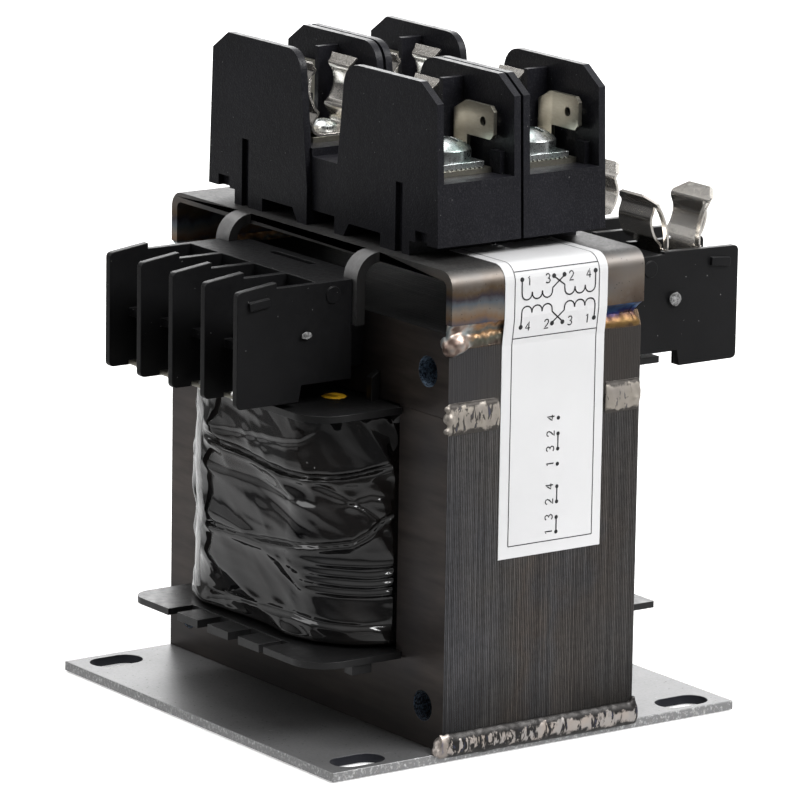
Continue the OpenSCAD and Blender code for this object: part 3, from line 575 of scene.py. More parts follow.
plastics = {
    # grain and dust spacing in millimetres
    "block_plastic": {"colour": (0.0050, 0.0050, 0.0055), "rough": 0.42, "gloss": 0.20,
                      "grain": 0.16, "relief": 0.02, "dust": 1.7, "frost": 0.05},
    "holder_plastic": {"colour": (0.0085, 0.0085, 0.0112), "rough": 0.36, "gloss": 0.20,
                       "grain": 0.32, "relief": 0.10, "dust": 1.5, "frost": 0.35},
    "bobbin_plastic": {"colour": (0.0060, 0.0060, 0.0063), "rough": 0.38, "gloss": 0.50,
                       "grain": 0.3, "relief": 0.010, "dust": 1.9, "frost": 0.05},
}
metals = {
    "clip_nickel": {"colour": (0.95, 0.91, 0.85), "rough": 0.13, "grain": 0.35, "relief": 0.004,
                    "metal": 0.93, "pits": 0.15, "stretch": (0.25, 1, 1),
                    "stain": (0.75, 0.68, 0.60), "stainShare": 0.3},
    "tinned_brass": {"colour": (0.36, 0.345, 0.29), "rough": 0.28, "grain": 0.4, "relief": 0.003,
                     "metal": 0.96, "pits": 0.1, "stretch": (1, 0.3, 1),
                     "stain": (0.30, 0.27, 0.22), "stainShare": 0.4},
    "zinc": {"colour": (0.62, 0.64, 0.64), "rough": 0.24, "grain": 0.45, "relief": 0.03,
             "metal": 1.0, "pits": 0.4, "stretch": (1, 1, 1),
             "stain": (0.30, 0.46, 0.42), "stainShare": 0.55},
    "solder": {"colour": (0.80, 0.80, 0.78), "rough": 0.34, "grain": 0.6, "relief": 0.05,
               "metal": 1.0, "pits": 0.5, "stretch": (1, 1, 1),
               "stain": (0.42, 0.38, 0.33), "stainShare": 0.5},
}
steels = {
    # lengths in millimetres, apart from the ones multiplied by mm
    "core": {"sheet": 0.40, "wide": 44, "browned": (65.5 * mm, 68.5 * mm), "slope": 78.2 * mm,
             "foot": (3 * mm, 17 * mm), "faceFoot": (5 * mm, 22 * mm),
             "holes": ((39.5 * mm, 9.45 * mm), (39.5 * mm, 73.25 * mm)), "holeRadius": 3.15 * mm},
    "bracket": {"low": 79.0, "high": 93.2, "edge": 36, "tab": 22.3},
    "plate": {"X": high("base_plate").x, "Y": high("base_plate").y, "cutEdge": 0.6 * mm},
}
weldLooks = {
    "base": {"rough": 0.34, "middle": 3.0, "half": 1.25, "lean": 0.7, "marks": 0.54, "lump": -20.9,
             "dark": (0.030, 0.028, 0.027), "bright": ((0.46, 0.43, 0.41), (0.52, 0.45, 0.40))},
    "joint": {"rough": 0.45, "middle": 65.2, "half": 2.3, "lean": -0.5, "marks": 0.47, "lump": -21.4,
              "dark": (0.075, 0.068, 0.062), "bright": ((0.34, 0.31, 0.28), (0.42, 0.38, 0.33))},
    "bracket": {"pearlEnds": (-18.0, -16.0), "blueFrom": 5.0, "brown": (78.5, 83.5),
                # inside: nearer the middle than this, the bead is painted dark as the bracket's shade
                "blue": (78.3, 83.2), "inside": 43.2 * mm},
}
finishes = {slot: makeFinish(slot + "Finish", blackPlastic, look) for slot, look in plastics.items()}
finishes.update({slot: makeFinish(slot + "Finish", brightMetal, look) for slot, look in metals.items()})
finishes["lamination_steel"] = makeFinish("coreSteelFinish", coreSteel, steels["core"])
finishes["bracket_steel"] = makeFinish("bracketFinish", tintedSteel, steels["bracket"])
finishes["plate_steel"] = makeFinish("plateFinish", plateSteel, steels["plate"])
finishes["coil_film"] = makeFinish("coilFilmFinish", coilFilm)
finishes["label_vinyl"] = makeFinish("labelFinish", labelVinyl)
finishes["dot_paint"] = makeFinish("dotPaintFinish", plainPaint, (0.80, 0.44, 0.02), 0.42)
inkFinish = makeFinish("inkFinish", plainPaint, (0.012, 0.012, 0.014), 0.45)
weldFinishes = {
    "base": makeFinish("baseWeldFinish", weldMetal, weldLooks["base"]),
    "joint": makeFinish("jointWeldFinish", weldMetal, weldLooks["joint"]),
    "bracket": makeFinish("bracketWeldFinish", scorchedWeld, weldLooks["bracket"]),
}
markFinish = makeFinish("gateMarkFinish", roughMark)
clearFinish = makeFinish("clearFilmFinish", clearFilm)


# Mesh helpers

def addObject(name, mesh, slotName, finish=None):
    piece = newObject(name, mesh)
    mesh.materials.clear()
    mesh.materials.append(finish or finishes[slotName])
    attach(piece, "root")
    return piece


def addMesh(name, points, faces, slotName, finish=None, smooth=True):
    # points are in millimetres
    mesh = bpy.data.meshes.new(name)
    mesh.from_pydata((np.asarray(points, dtype=float) * mm).tolist(), [], faces)
    mesh.validate()
    if smooth:
        mesh.shade_smooth()
    return addObject(name, mesh, slotName, finish)


def settle(piece):
    # turn live modifiers into plain mesh
    bpy.context.view_layer.update()
    evaluated = piece.evaluated_get(bpy.context.evaluated_depsgraph_get())
    mesh = bpy.data.meshes.new_from_object(evaluated)
    old = piece.data
    piece.modifiers.clear()
    piece.data = mesh
    bpy.data.meshes.remove(old)


def weldedCopy(node, name):
    mesh = nodes[node].data.copy()
    mesh.name = name
    bm = bmesh.new()
    bm.from_mesh(mesh)
    bmesh.ops.remove_doubles(bm, verts=bm.verts, dist=2e-6)
    return mesh, bm


bevels = {"steps": 2, "turn": 28, "merge": 0.4}  # edges that turn more are rounded, less are merged


def roundEdges(piece, radius, turn):
    bevel = piece.modifiers.new("edges", "BEVEL")
    bevel.width = radius * mm
    bevel.segments = bevels["steps"]
    bevel.limit_method = "ANGLE"
    bevel.angle_limit = math.radians(turn)
    # large faces stay flat, and only the rounded edges turn
    normals = piece.modifiers.new("normals", "WEIGHTED_NORMAL")
    normals.mode = "FACE_AREA"
    normals.weight = 100
    normals.keep_sharp = False


def softEdged(node, radius, slotName):
    # a copy of a node with small round edges, which stands for it
    mesh, bm = weldedCopy(node, node + "Rounded")
    limit = math.radians(bevels["merge"])
    bmesh.ops.dissolve_limit(bm, angle_limit=limit, verts=bm.verts, edges=bm.edges)
    bm.to_mesh(mesh)
    bm.free()
    piece = addObject(mesh.name, mesh, slotName)
    roundEdges(piece, radius, bevels["turn"])
    mesh.shade_smooth()
    settle(piece)
    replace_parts(piece, node)


def outlineLoops(node, x):
    # closed outlines of the flat end face at x, as lists of (y, z) in millimetres
    mesh, bm = weldedCopy(node, "outline")
    flat = {f for f in bm.faces if all(abs(v.co.x - x) < 1e-5 for v in f.verts)}
    follow = {}
    for face in flat:
        for corner in face.loops:
            if sum(other in flat for other in corner.edge.link_faces) == 1:
                follow[corner.vert] = corner.link_loop_next.vert
    loops = []
    for start in sorted(follow, key=lambda v: v.index):
        at, points = start, []
        while at in follow:
            points.append((at.co.y * 1000, at.co.z * 1000))
            at = follow.pop(at)
        if points:
            loops.append(points)
    bm.free()
    bpy.data.meshes.remove(mesh)
    return loops


def islands(node):
    # low and high corners of each separate solid, in millimetres
    mesh, bm = weldedCopy(node, "islands")
    left, boxes = set(bm.verts), []
    while left:
        seed = min(left, key=lambda v: v.index)
        group, edge = {seed}, [seed]
        while edge:
            v = edge.pop()
            for link in v.link_edges:
                other = link.other_vert(v)
                if other not in group:
                    group.add(other)
                    edge.append(other)
        left -= group
        coords = [v.co * 1000 for v in group]
        boxes.append((Vector(min(c[k] for c in coords) for k in range(3)),
                      Vector(max(c[k] for c in coords) for k in range(3))))
    bm.free()
    bpy.data.meshes.remove(mesh)
    return sorted(boxes, key=lambda pair: (round(pair[0].y, 2), round(pair[0].x, 2)))


def held(value):
    return max(0.0, min(1.0, value))


def wander(point, size, seed=0.0):
    return noise.noise(Vector(point) / size + Vector((seed, -seed, 2 * seed)))


# Rounded copies of the moulded and pressed pieces

edges = {
    # node: (edge radius in millimetres, slot)
    "primary_block": (0.25, "block_plastic"), "secondary_block": (0.25, "block_plastic"),
    "fuse_holder_left": (0.34, "holder_plastic"), "fuse_holder_right": (0.34, "holder_plastic"),
    "bobbin": (0.38, "bobbin_plastic"), "base_plate": (0.18, "plate_steel"),
    "top_bracket": (0.30, "bracket_steel"),
    "primary_terminals": (0.10, "tinned_brass"), "secondary_terminals": (0.10, "tinned_brass"),
    "primary_screws": (0.07, "zinc"), "secondary_screws": (0.07, "zinc"),
    "wire_screws": (0.08, "zinc"), "clip_screws": (0.06, "zinc"),
    "secondary_clip_front": (0.06, "clip_nickel"), "secondary_clip_back": (0.06, "clip_nickel"),
}
for side in ("left", "right"):
    for end in ("front", "back"):
        edges[f"terminal_plate_{side}_{end}"] = (0.09, "tinned_brass")
        edges[f"fuse_clip_{side}_{end}"] = (0.06, "clip_nickel")

print("rounded pieces")
for node, (radius, slotName) in edges.items():
    softEdged(node, radius, slotName)


# Core of stacked sheets

core = {
    "sheet": steels["core"]["sheet"],  # thickness of one sheet, mm
    "groove": {"core_e_stack": 0.12, "core_i_stack": 0.05},  # how far the edge of a sheet is rounded in
    "stray": 0.04,  # how far a sheet sits out of line
    "seed": 41,
}


def stackSheets(node, name):
    loops = outlineLoops(node, high(node).x)
    left, right = low(node).x * 1000, high(node).x * 1000
    count = round((right - left) / core["sheet"])
    thick = (right - left) / count
    random.seed(core["seed"])
    base, inward, starts = [], [], [0]
    for loop in loops:
        ring = np.array(loop)
        ahead = np.roll(ring, -1, 0) - ring
        ahead /= np.linalg.norm(ahead, axis=1)[:, None]
        along = ahead + np.roll(ahead, 1, 0)
        along /= np.linalg.norm(along, axis=1)[:, None]
        inward.append(np.stack([-along[:, 1], along[:, 0]], 1))
        base.append(ring)
        starts.append(starts[-1] + len(ring))
    base, inward = np.concatenate(base), np.concatenate(inward)
    rings = []
    for k in range(count):
        stray = np.array([random.gauss(0, 1), random.gauss(0, 0.6)]).clip(-2, 2) * core["stray"] / 2
        x = left + k * thick
        for step, share in ((0.0, 1.0), (0.16, 0.0), (0.84, 0.0)):
            ring = base + inward * core["groove"][node] * share + stray
            rings.append(np.column_stack([np.full(len(ring), x + step * thick), ring]))
    rings.append(np.column_stack([np.full(len(base), right), base]))
    size, faces = len(base), []
    for k in range(len(rings) - 1):
        for start, stop in zip(starts, starts[1:]):
            faces += ringFaces(k * size, (k + 1) * size, start, stop)
    # flat ends
    bm = bmesh.new()
    verts = [bm.verts.new((0, y, z)) for y, z in base]
    for start, stop in zip(starts, starts[1:]):
        for i in range(start, stop):
            bm.edges.new((verts[i], verts[i + 1 if i + 1 < stop else start]))
    bm.verts.index_update()
    bmesh.ops.triangle_fill(bm, use_beauty=True, edges=bm.edges)
    last = (len(rings) - 1) * size
    for face in bm.faces:
        corners = [v.index for v in face.verts]
        if face.normal.x < 0:
            corners.reverse()
        faces.append(tuple(last + i for i in corners))
        faces.append(tuple(reversed(corners)))
    bm.free()
    piece = addMesh(name, np.concatenate(rings), faces, "lamination_steel", smooth=False)
    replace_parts(piece, node)


print("stacked sheets")
stackSheets("core_e_stack", "coreSheetsLower")
stackSheets("core_i_stack", "coreSheetsUpper")


# Coil wrapped in black film

coil = {
    "bend": 17.0,  # outside radius of the corners, mm
    "cell": 0.33,
    "deep": 9.0,
    "slack": 1.0,
    # a line of (distance round the bulge, height), then ridge, width, step and groove above it
    "folds": [
        ([(3, 53.0), (7, 52.0), (13.5, 50.6), (20, 50.0), (28, 49.6), (38, 50.2), (54, 51.2)],
         0.62, 0.80, 0.15, 0.85),
        ([(18, 61.4), (19.5, 58.4), (23, 56.4), (28.5, 55.4), (38, 54.6), (54, 53.4)],
         0.10, 0.5, 0.35, 0.35),
        ([(2, 44.0), (5.5, 42.5), (8.5, 40.0), (11.5, 38.2), (16.5, 37.4), (24, 36.5), (35, 35.4),
          (52, 34.6)], 0.60, 0.7, 0.10, 0.50),
        ([(18, 44.6), (28, 44.9), (38, 46.0), (52, 46.2)], 0.20, 1.0, 0.0, 0.22),
        ([(4, 41.0), (9, 44.6), (14, 47.0), (18.5, 48.4)], 0.30, 0.8, 0.0, 0.30),
        ([(3, 46.0), (8, 47.2), (13, 45.4)], 0.25, 0.9, 0.0, 0.25),
        ([(2, 22.0), (12, 22.0), (26, 22.6), (38, 22.2), (52, 21.2)], 0.22, 0.8, 0.0, 0.30),
    ],
    "swell": (0.8, 19), "tuck": (0.13, 53),  # slow waves, and how the film leans in near the top
    "facets": 1.3,  # how deep the creased facets are, mm
    # share of that depth, turn in degrees, length, width, seed
    "pleats": ((1.0, 17, 42, 8.0, 3), (0.75, 50, 26, 6.5, 6), (0.12, 12, 16, 3.4, 8),
               (0.10, 38, 20, 4.2, 12)),
    "rim": (1.1, 1.2),  # radius of the rounded bottom and top
    "ribs": ((34.4, 32.3, 30.5, 28.7), 0.62, 0.55),  # heights, proud, width
}


def bulgePath(cell):
    # points and outward directions round one end of the coil, front to back
    far, wide = -high("winding").x * 1000, high("winding").y * 1000
    r = coil["bend"]
    cx, cy = far + r, wide - r
    quarter = r * math.pi / 2
    total = 2 * (quarter + cy)
    path = []
    for k in range(round(total / cell) + 1):
        s = total * k / round(total / cell)
        if s < quarter:
            a = s / r
            out = (-math.sin(a), -math.cos(a))
            at = (cx + r * out[0], -cy + r * out[1])
        elif s < quarter + 2 * cy:
            out = (-1.0, 0.0)
            at = (far, -cy + s - quarter)
        else:
            a = (s - quarter - 2 * cy) / r
            out = (-math.cos(a), math.sin(a))
            at = (cx + r * out[0], cy + r * out[1])
        path.append((s, at, out))
    return path, total


coilLow, coilHigh = low("winding").z * 1000, high("winding").z * 1000


def pleats(s, z, turn, length, width, seed):
    # long facets that meet in sharp lines, running at an angle over the film, -0.5 to 0.5
    a = math.radians(turn)
    along, across = s * math.cos(a) + z * math.sin(a), z * math.cos(a) - s * math.sin(a)
    bend = 2.2 * wander((along, across, 1), 18, seed + 9)
    value = wander((along * width / length, across + bend, 4), width, seed)
    return 0.5 - 1.6 * math.sqrt(value * value + 0.0009)


def filmHeight(s, z, total, seed):
    # how far the film stands out, in millimetres, always inside the coil's own solid
    back = total - s
    front = s if s < back else back
    near = held((27 - front) / 12)
    (swell, size), (tuck, tuckFrom) = coil["swell"], coil["tuck"]
    h = swell * wander((0.7 * s, 1.2 * z, 0), size, seed) - tuck * max(0.0, z - tuckFrom)
    for here, (deep, *grain, own) in zip((1 - 0.45 * near, near, 1, 1), coil["pleats"]):
        h += coil["facets"] * deep * here * pleats(s, z, *grain, seed + own)
    if seed == 0:
        for line, ridge, width, step, groove in coil["folds"]:
            places = [p[0] for p in line]
            if not places[0] - 1 < s < places[-1] + 3:
                continue
            fade = min(1.0, max(0.0, (s - places[0] + 1) / 5), max(0.0, (places[-1] + 3 - s) / 3))
            d = z - float(np.interp(s, places, [p[1] for p in line]))
            sharp = width * (0.45 if d > 0 else 1.3)
            h += fade * ridge * math.exp(-(d / sharp) ** 2)
            h -= fade * groove * math.exp(-((d - 0.85 * width) / (0.7 * width)) ** 2)
            h += fade * step * held(d / 0.4) * math.exp(-max(0.0, d) / 7)
    heights, proud, width = coil["ribs"]
    reach = held((25 - s) / 9) if seed == 0 else 0.8
    for level in heights:
        lean = 0.7 * wander((s, level, 0), 9, seed + 1)
        h += reach * proud * math.exp(-((z - level - lean) / width) ** 2)
    h = min(h - coil["slack"], -0.03)
    # rounded top and bottom
    for gap, radius in zip((z - coilLow, coilHigh - z), coil["rim"]):
        if gap < radius:
            h -= radius - math.sqrt(max(0.0, radius ** 2 - (radius - gap) ** 2))
    # the film lies plain where the core hides it
    calm = held((front - 1.5) / 2.5)
    return h * calm - 0.5 * (1 - calm)


def makeCoil():
    path, total = bulgePath(coil["cell"])
    rows = round((coilHigh - coilLow) / coil["cell"])
    ring = []  # (distance, place, outward, side)
    for side in (-1, 1):
        for s, at, out in path:
            turned = 1 if side < 0 else -1
            ring.append((s, (at[0] * turned, at[1] * turned), (out[0] * turned, out[1] * turned), side))
    points, size = [], len(ring)
    for k in range(rows + 1):
        z = coilLow + (coilHigh - coilLow) * k / rows
        for s, at, out, side in ring:
            h = filmHeight(s, z, total, 0 if side < 0 else 17)
            points.append((at[0] + out[0] * h, at[1] + out[1] * h, z))
    for z in (coilHigh, coilLow):
        for s, at, out, side in ring:
            points.append((at[0] - out[0] * coil["deep"], at[1] - out[1] * coil["deep"], z))
    faces = []
    bands = [(k * size, (k + 1) * size) for k in range(rows + 2)] + [((rows + 2) * size, 0)]
    for a, b in bands:
        faces += ringFaces(b, a, 0, size)
    piece = addMesh("coilFilmWrap", points, faces, "coil_film")
    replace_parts(piece, "winding")
    return path


print("coil film")
coilPath = makeCoil()

clearEdge = {
    "from": 54.8, "lowZ": 22.5, "highZ": 63.0,  # distance round the bulge, and heights, mm
    "width": 1.7, "proud": 0.8, "thick": 0.08, "rows": 90, "across": 9,
}


def makeClearEdge():
    # the crumpled end of the clear outer wrap, standing off the bulge
    track = np.array([(s, *at, *out) for s, at, out in coilPath])
    rows, across = clearEdge["rows"], clearEdge["across"]
    points = []
    for k in range(rows + 1):
        share = k / rows
        z = clearEdge["lowZ"] + (clearEdge["highZ"] - clearEdge["lowZ"]) * share
        middle = clearEdge["from"] + 1.3 * wander((0, 0, z), 11, 4) + 0.4 * wander((0, 0, z), 4, 5)
        wide = clearEdge["width"] * (0.8 + 0.5 * wander((0, 0, z), 8, 6))
        wide *= min(1, 6 * share + 0.2, 6 * (1 - share) + 0.2)
        for i in range(across + 1):
            s = middle + wide * (i / across - 0.5)
            x, y, *out = (float(np.interp(s, track[:, 0], column)) for column in track.T[1:])
            out = Vector(out).normalized()
            lift = clearEdge["proud"] * (0.35 + math.sin(math.pi * i / across))
            lift = max(0.05, lift + 0.35 * wander((s, 0.4 * z, 0), 2.2, 7))
            points.append((x + out.x * lift, y + out.y * lift, z))
    faces = sheetFaces(0, rows, across)
    piece = addMesh("clearFilmEdge", points, faces, "coil_film", clearFinish)
    solid = piece.modifiers.new("thick", "SOLIDIFY")
    solid.thickness = clearEdge["thick"] * mm
    settle(piece)
    piece.data.shade_smooth()


makeClearEdge()


# Welds

welds = {
    # node: finish, ripple height, pitch and lean, blobs (x, y, z, radius), all in millimetres
    "base_weld_front": ("base", 0.02, 2.4, 0.7, [
        (-21.9, -45.6, 3.3, 1.7), (-23.3, -45.9, 2.2, 1.1), (-20.0, -46.1, 3.9, 1.0),
        (21.9, -46.0, 4.9, 0.9), (22.3, -46.0, 5.9, 0.6)]),
    "base_weld_back": ("base", 0.02, 2.4, -0.7, [(19.0, 45.9, 3.2, 1.3)]),
    "joint_weld_front": ("joint", 0.03, 2.2, 0.4, [
        (-21.8, -45.8, 65.4, 1.2), (-22.4, -46.0, 63.2, 0.7), (-22.3, -46.0, 67.4, 0.7),
        (20.9, -46.1, 64.6, 0.8)]),
    "joint_weld_back": ("joint", 0.03, 2.2, -0.4, [(20.9, 46.1, 65.2, 1.0)]),
    "bracket_weld_front": ("bracket", 0.03, 2.6, 0.5, [
        (-19.9, -44.5, 79.3, 2.65), (-21.4, -45.4, 78.3, 1.5)]),
    "bracket_weld_back": ("bracket", 0.03, 2.6, -0.5, [(20.1, 44.6, 79.3, 2.5)]),
}
fillers = {
    # node: low and high x, y and z of a bar that closes the gap behind the bead
    "bracket_weld_front": (-21.9, 22.05, -45.95, -44.5, 78.1, 80.6),
    "bracket_weld_back": (-22.05, 21.9, 44.5, 45.95, 78.1, 80.6),
}
bead = {
    "voxel": 0.26, "smoothings": 8,
    "waves": 0.10, "grain": 0.03,
    "rugged": (-17.5, 6, 0.20),  # along the bracket's bead: from, to, height of the grain there
    "foot": (0.15, 79.2, 1.1),  # lies over the slope of the sheets: how far, height, spread
    "sinks": (11, 3, 80.9, 1.25, 0.75),  # this end sinks in: from, over, height, spread, how far
    "endFrom": 20.5, "endIn": 0.8,
}


def makeWeld(node, finish, ripple, pitch, lean, blobs):
    onBracket = node in fillers
    mesh, bm = weldedCopy(node, node + "Bead")
    for x, y, z, radius in blobs:
        bmesh.ops.create_icosphere(bm, subdivisions=2, radius=radius * mm,
                                   matrix=Matrix.Translation((x * mm, y * mm, z * mm)))
    if onBracket:
        x0, x1, y0, y1, z0, z1 = (value * mm for value in fillers[node])
        middle = Matrix.Translation(((x0 + x1) / 2, (y0 + y1) / 2, (z0 + z1) / 2))
        size = Matrix.Diagonal((x1 - x0, y1 - y0, z1 - z0, 1))
        bmesh.ops.create_cube(bm, size=1.0, matrix=middle @ size)
    bm.to_mesh(mesh)
    bm.free()
    piece = addObject(node + "Bead", mesh, "weld_metal", weldFinishes[finish])
    remesh = piece.modifiers.new("even", "REMESH")
    remesh.mode = "VOXEL"
    remesh.voxel_size = bead["voxel"] * mm
    smooth = piece.modifiers.new("soft", "SMOOTH")
    smooth.iterations = bead["smoothings"]
    settle(piece)
    places = np.empty(len(piece.data.vertices) * 3)
    normals = np.empty(len(piece.data.vertices) * 3)
    piece.data.vertices.foreach_get("co", places)
    piece.data.vertices.foreach_get("normal", normals)
    places, normals = places.reshape(-1, 3), normals.reshape(-1, 3)
    ruggedFrom, ruggedTo, rugged = bead["rugged"]
    footOut, footZ, footTall = bead["foot"]
    sinkFrom, sinkOver, sinkZ, sinkTall, sinkIn = bead["sinks"]
    for k, (x, y, z) in enumerate((places * 1000).tolist()):
        bend = 0.6 * wander((x, 0, z), 3.0, 2)
        rise = ripple * math.cos(2 * math.pi * (x + lean * z + bend) / pitch)
        rise += bead["waves"] * wander((x, y, z), 3.0, 1)
        grain = rugged if onBracket and ruggedFrom < x < ruggedTo else bead["grain"]
        rise += grain * wander((x, y, z), 0.9, 3)
        if onBracket:
            rise += footOut * math.exp(-((z - footZ) / footTall) ** 2)
        places[k] += normals[k] * rise * mm
        if onBracket and (x > sinkFrom if y < 0 else x < -sinkFrom):
            # this end of the bead lies between the bracket and the sheets
            sunk = min(1.0, (abs(x) - sinkFrom) / sinkOver) * math.exp(-((z - sinkZ) / sinkTall) ** 2)
            places[k][1] += (sinkIn if y < 0 else -sinkIn) * sunk * mm
            if abs(x) > bead["endFrom"]:
                places[k][0] -= math.copysign(bead["endIn"] * sunk, x) * mm
    places[:, 1] = places[:, 1].clip(cadBox[0][1], cadBox[1][1])
    piece.data.vertices.foreach_set("co", places.ravel())
    piece.data.update()
    piece.data.shade_smooth()
    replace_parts(piece, node)


print("welds")
for node, look in welds.items():
    makeWeld(node, *look)


# Label and its print

labelPrint = {
    # heights and places across the label in millimetres
    "proud": 0.035,
    "frame": (-8.0, 11.4, 39.5, 79.0, 91.6),  # left, right, bottom, middle line, top
    "line": 0.18, "wire": 0.28, "dot": 0.46, "pen": 0.24, "step": 0.7,
    # the side lines: where the label begins to turn over the top, the middle of that bend,
    # how far the flat part is from the front and the back, steps along the three stretches
    "bend": 3.2, "bendCentre": 3.6, "flat": (3.8, 0.3), "steps": (60, 24, 20),
    "tapColumn": 3.1, "taps": (41.0, 43.8, 46.8, 49.7, 54.0, 56.9, 59.8, 62.8),
    "links": ((41.0, 43.8), (46.8, 49.7), (56.9, 59.8)),
    "tapNumerals": "13241324", "beside": (-0.9, -0.35), "tapDot": 0.85,  # share of the others' size
    "numeralHigh": 1.7, "numeralsAt": (-5.3, -1.0, 4.4, 8.4),
    "numeralRows": (("1324", 88.9), ("4231", 80.3)),
    "loops": 3,
}
windings = [
    # dots from left to right, and their height; the leads' ends and feet; the loops' height and
    # how tall they are; then for each half the inner lead's foot and the height of its end
    {"dots": (-6.4, 0.9, 3.3, 10.5), "dotsAt": 90.1, "lead": (90.0, 87.9), "loops": (87.6, -1.4),
     "inner": ((0.6, 87.9, 90.0), (3.4, 88.2, 90.0))},
    {"dots": (-6.4, 0.8, 3.2, 10.5), "dotsAt": 81.1, "lead": (81.1, 83.5), "loops": (83.7, 1.3),
     "inner": ((0.6, 83.4, 81.2), (3.4, 83.4, 81.3))},
]
strokes = {
    # numerals as pen strokes in a box 0.6 wide and 1 high
    "1": [[(0.15, 0.8), (0.35, 1.0), (0.35, 0.0)]],
    "2": [[(0.02, 0.75), (0.12, 0.95), (0.3, 1.0), (0.5, 0.93), (0.57, 0.72), (0.45, 0.45),
           (0.02, 0.0), (0.6, 0.0)]],
    "3": [[(0.03, 0.85), (0.18, 1.0), (0.42, 1.0), (0.55, 0.8), (0.48, 0.6), (0.28, 0.53), (0.5, 0.45),
           (0.59, 0.25), (0.48, 0.05), (0.25, 0.0), (0.02, 0.12)]],
    "4": [[(0.45, 0.0), (0.45, 1.0), (0.0, 0.3), (0.62, 0.3)]],
}


def makePrint():
    mesh, p = nodes["label"].data, labelPrint
    tree = BVHTree.FromPolygons([v.co for v in mesh.vertices],
                                [tuple(face.vertices) for face in mesh.polygons])
    points, faces = [], []

    def cast(start, aim):
        # the place on the label that a line from start meets first, a little proud
        return tree.ray_cast(start * mm, aim)[0] * 1000 - aim * p["proud"]

    def onLabel(x, z):
        return cast(Vector((x, -200, z)), Vector((0, 1, 0)))

    def ribbon(line, width):
        # a flat inked line through points (x, z)
        path = [Vector(line[0])]
        for a, b in zip(line, line[1:]):
            steps = max(1, round((Vector(b) - Vector(a)).length / p["step"]))
            path += [Vector(a).lerp(Vector(b), k / steps) for k in range(1, steps + 1)]
        faces.extend(sheetFaces(len(points), len(path) - 1, 1))
        for k, at in enumerate(path):
            along = (path[min(k + 1, len(path) - 1)] - path[max(k - 1, 0)]).normalized()
            across = Vector((-along.y, along.x)) * width / 2
            for side in (at + across, at - across):
                points.append(onLabel(side.x, side.y))

    def dot(x, z, radius):
        start, around = len(points), 14
        points.append(onLabel(x, z) + Vector((0, -0.01, 0)))
        for k in range(around):
            angle = 2 * math.pi * k / around
            points.append(onLabel(x + radius * math.cos(angle), z + radius * math.sin(angle)))
        faces.extend((start, start + 1 + k, start + 1 + (k + 1) % around) for k in range(around))

    def numeral(sign, x, z, turned):
        tall = p["numeralHigh"]
        for stroke in strokes[sign]:
            if turned:
                ribbon([(x - b * tall, z + a * tall) for a, b in stroke], p["pen"])
            else:
                ribbon([(x + a * tall, z + b * tall) for a, b in stroke], p["pen"])

    def arcs(start, stop, level, tall):
        # a row of half loops, the generic sign for a winding
        pitch, line = (stop - start) / p["loops"], []
        for k in range(p["loops"]):
            for step in range(9):
                angle = math.pi * step / 8
                x = start + pitch * (k + 0.5) - math.cos(angle) * pitch * 0.5
                line.append((x, level + tall * math.sin(angle) ** 0.8))
        return line

    left, right, bottom, middle, top = p["frame"]
    ribbon([(left, bottom), (right, bottom)], p["line"])
    ribbon([(left, middle), (right, middle)], p["line"])
    # side lines run on over the bend
    topZ = high("label").z * 1000
    frontY, flatFrom = low("label").y * 1000, low("label").y * 1000 + p["flat"][0]
    flatTo = high("label").y * 1000 - p["flat"][1]
    upSteps, bendSteps, flatSteps = p["steps"]
    for x in (left, right):
        line = [onLabel(x, z) for z in np.linspace(bottom, topZ - p["bend"], upSteps).tolist()]
        centre = Vector((x, frontY + p["bendCentre"], topZ - p["bendCentre"]))
        for angle in np.linspace(0, math.pi / 2, bendSteps).tolist():
            aim = Vector((0, math.cos(angle), -math.sin(angle)))
            line.append(cast(centre - aim * 20, aim))
        for y in np.linspace(flatFrom, flatTo, flatSteps).tolist():
            line.append(cast(Vector((x, y, 200)), Vector((0, 0, -1))))
        faces.extend(sheetFaces(len(points), len(line) - 1, 1))
        for at in line:
            points.extend(at + Vector((share * p["line"], 0, 0)) for share in (-0.5, 0.5))
    ribbon([(left, top), (right, top)], p["line"])
    # two windings, drawn as loops with crossed inner leads
    for w in windings:
        a, b, c, d = w["dots"]
        end, foot = w["lead"]
        for outer, inner, (x, z, innerEnd) in zip((a, d), (c, b), w["inner"]):
            loops = arcs(outer, x, *w["loops"])
            ribbon([(outer, end), (outer, foot)] + loops + [(x, z), (inner, innerEnd)], p["wire"])
        for x in w["dots"]:
            dot(x, w["dotsAt"], p["dot"])
    for signs, z in p["numeralRows"]:
        for sign, x in zip(signs, p["numeralsAt"]):
            numeral(sign, x, z, False)
    for sign, z in zip(p["tapNumerals"], p["taps"]):
        dot(p["tapColumn"], z, p["dot"] * p["tapDot"])
        numeral(sign, p["tapColumn"] + p["beside"][0], z + p["beside"][1], True)
    for a, b in p["links"]:
        ribbon([(p["tapColumn"], a), (p["tapColumn"], b)], p["wire"])
    addMesh("labelLines", points, faces, "label_vinyl", inkFinish, smooth=False)


print("label")
makePrint()


# Paint dot, moulding marks and solder

lumpShape = {"rings": 5, "around": 28, "edge": 0.16, "top": 0.3}  # edge and top: how uneven


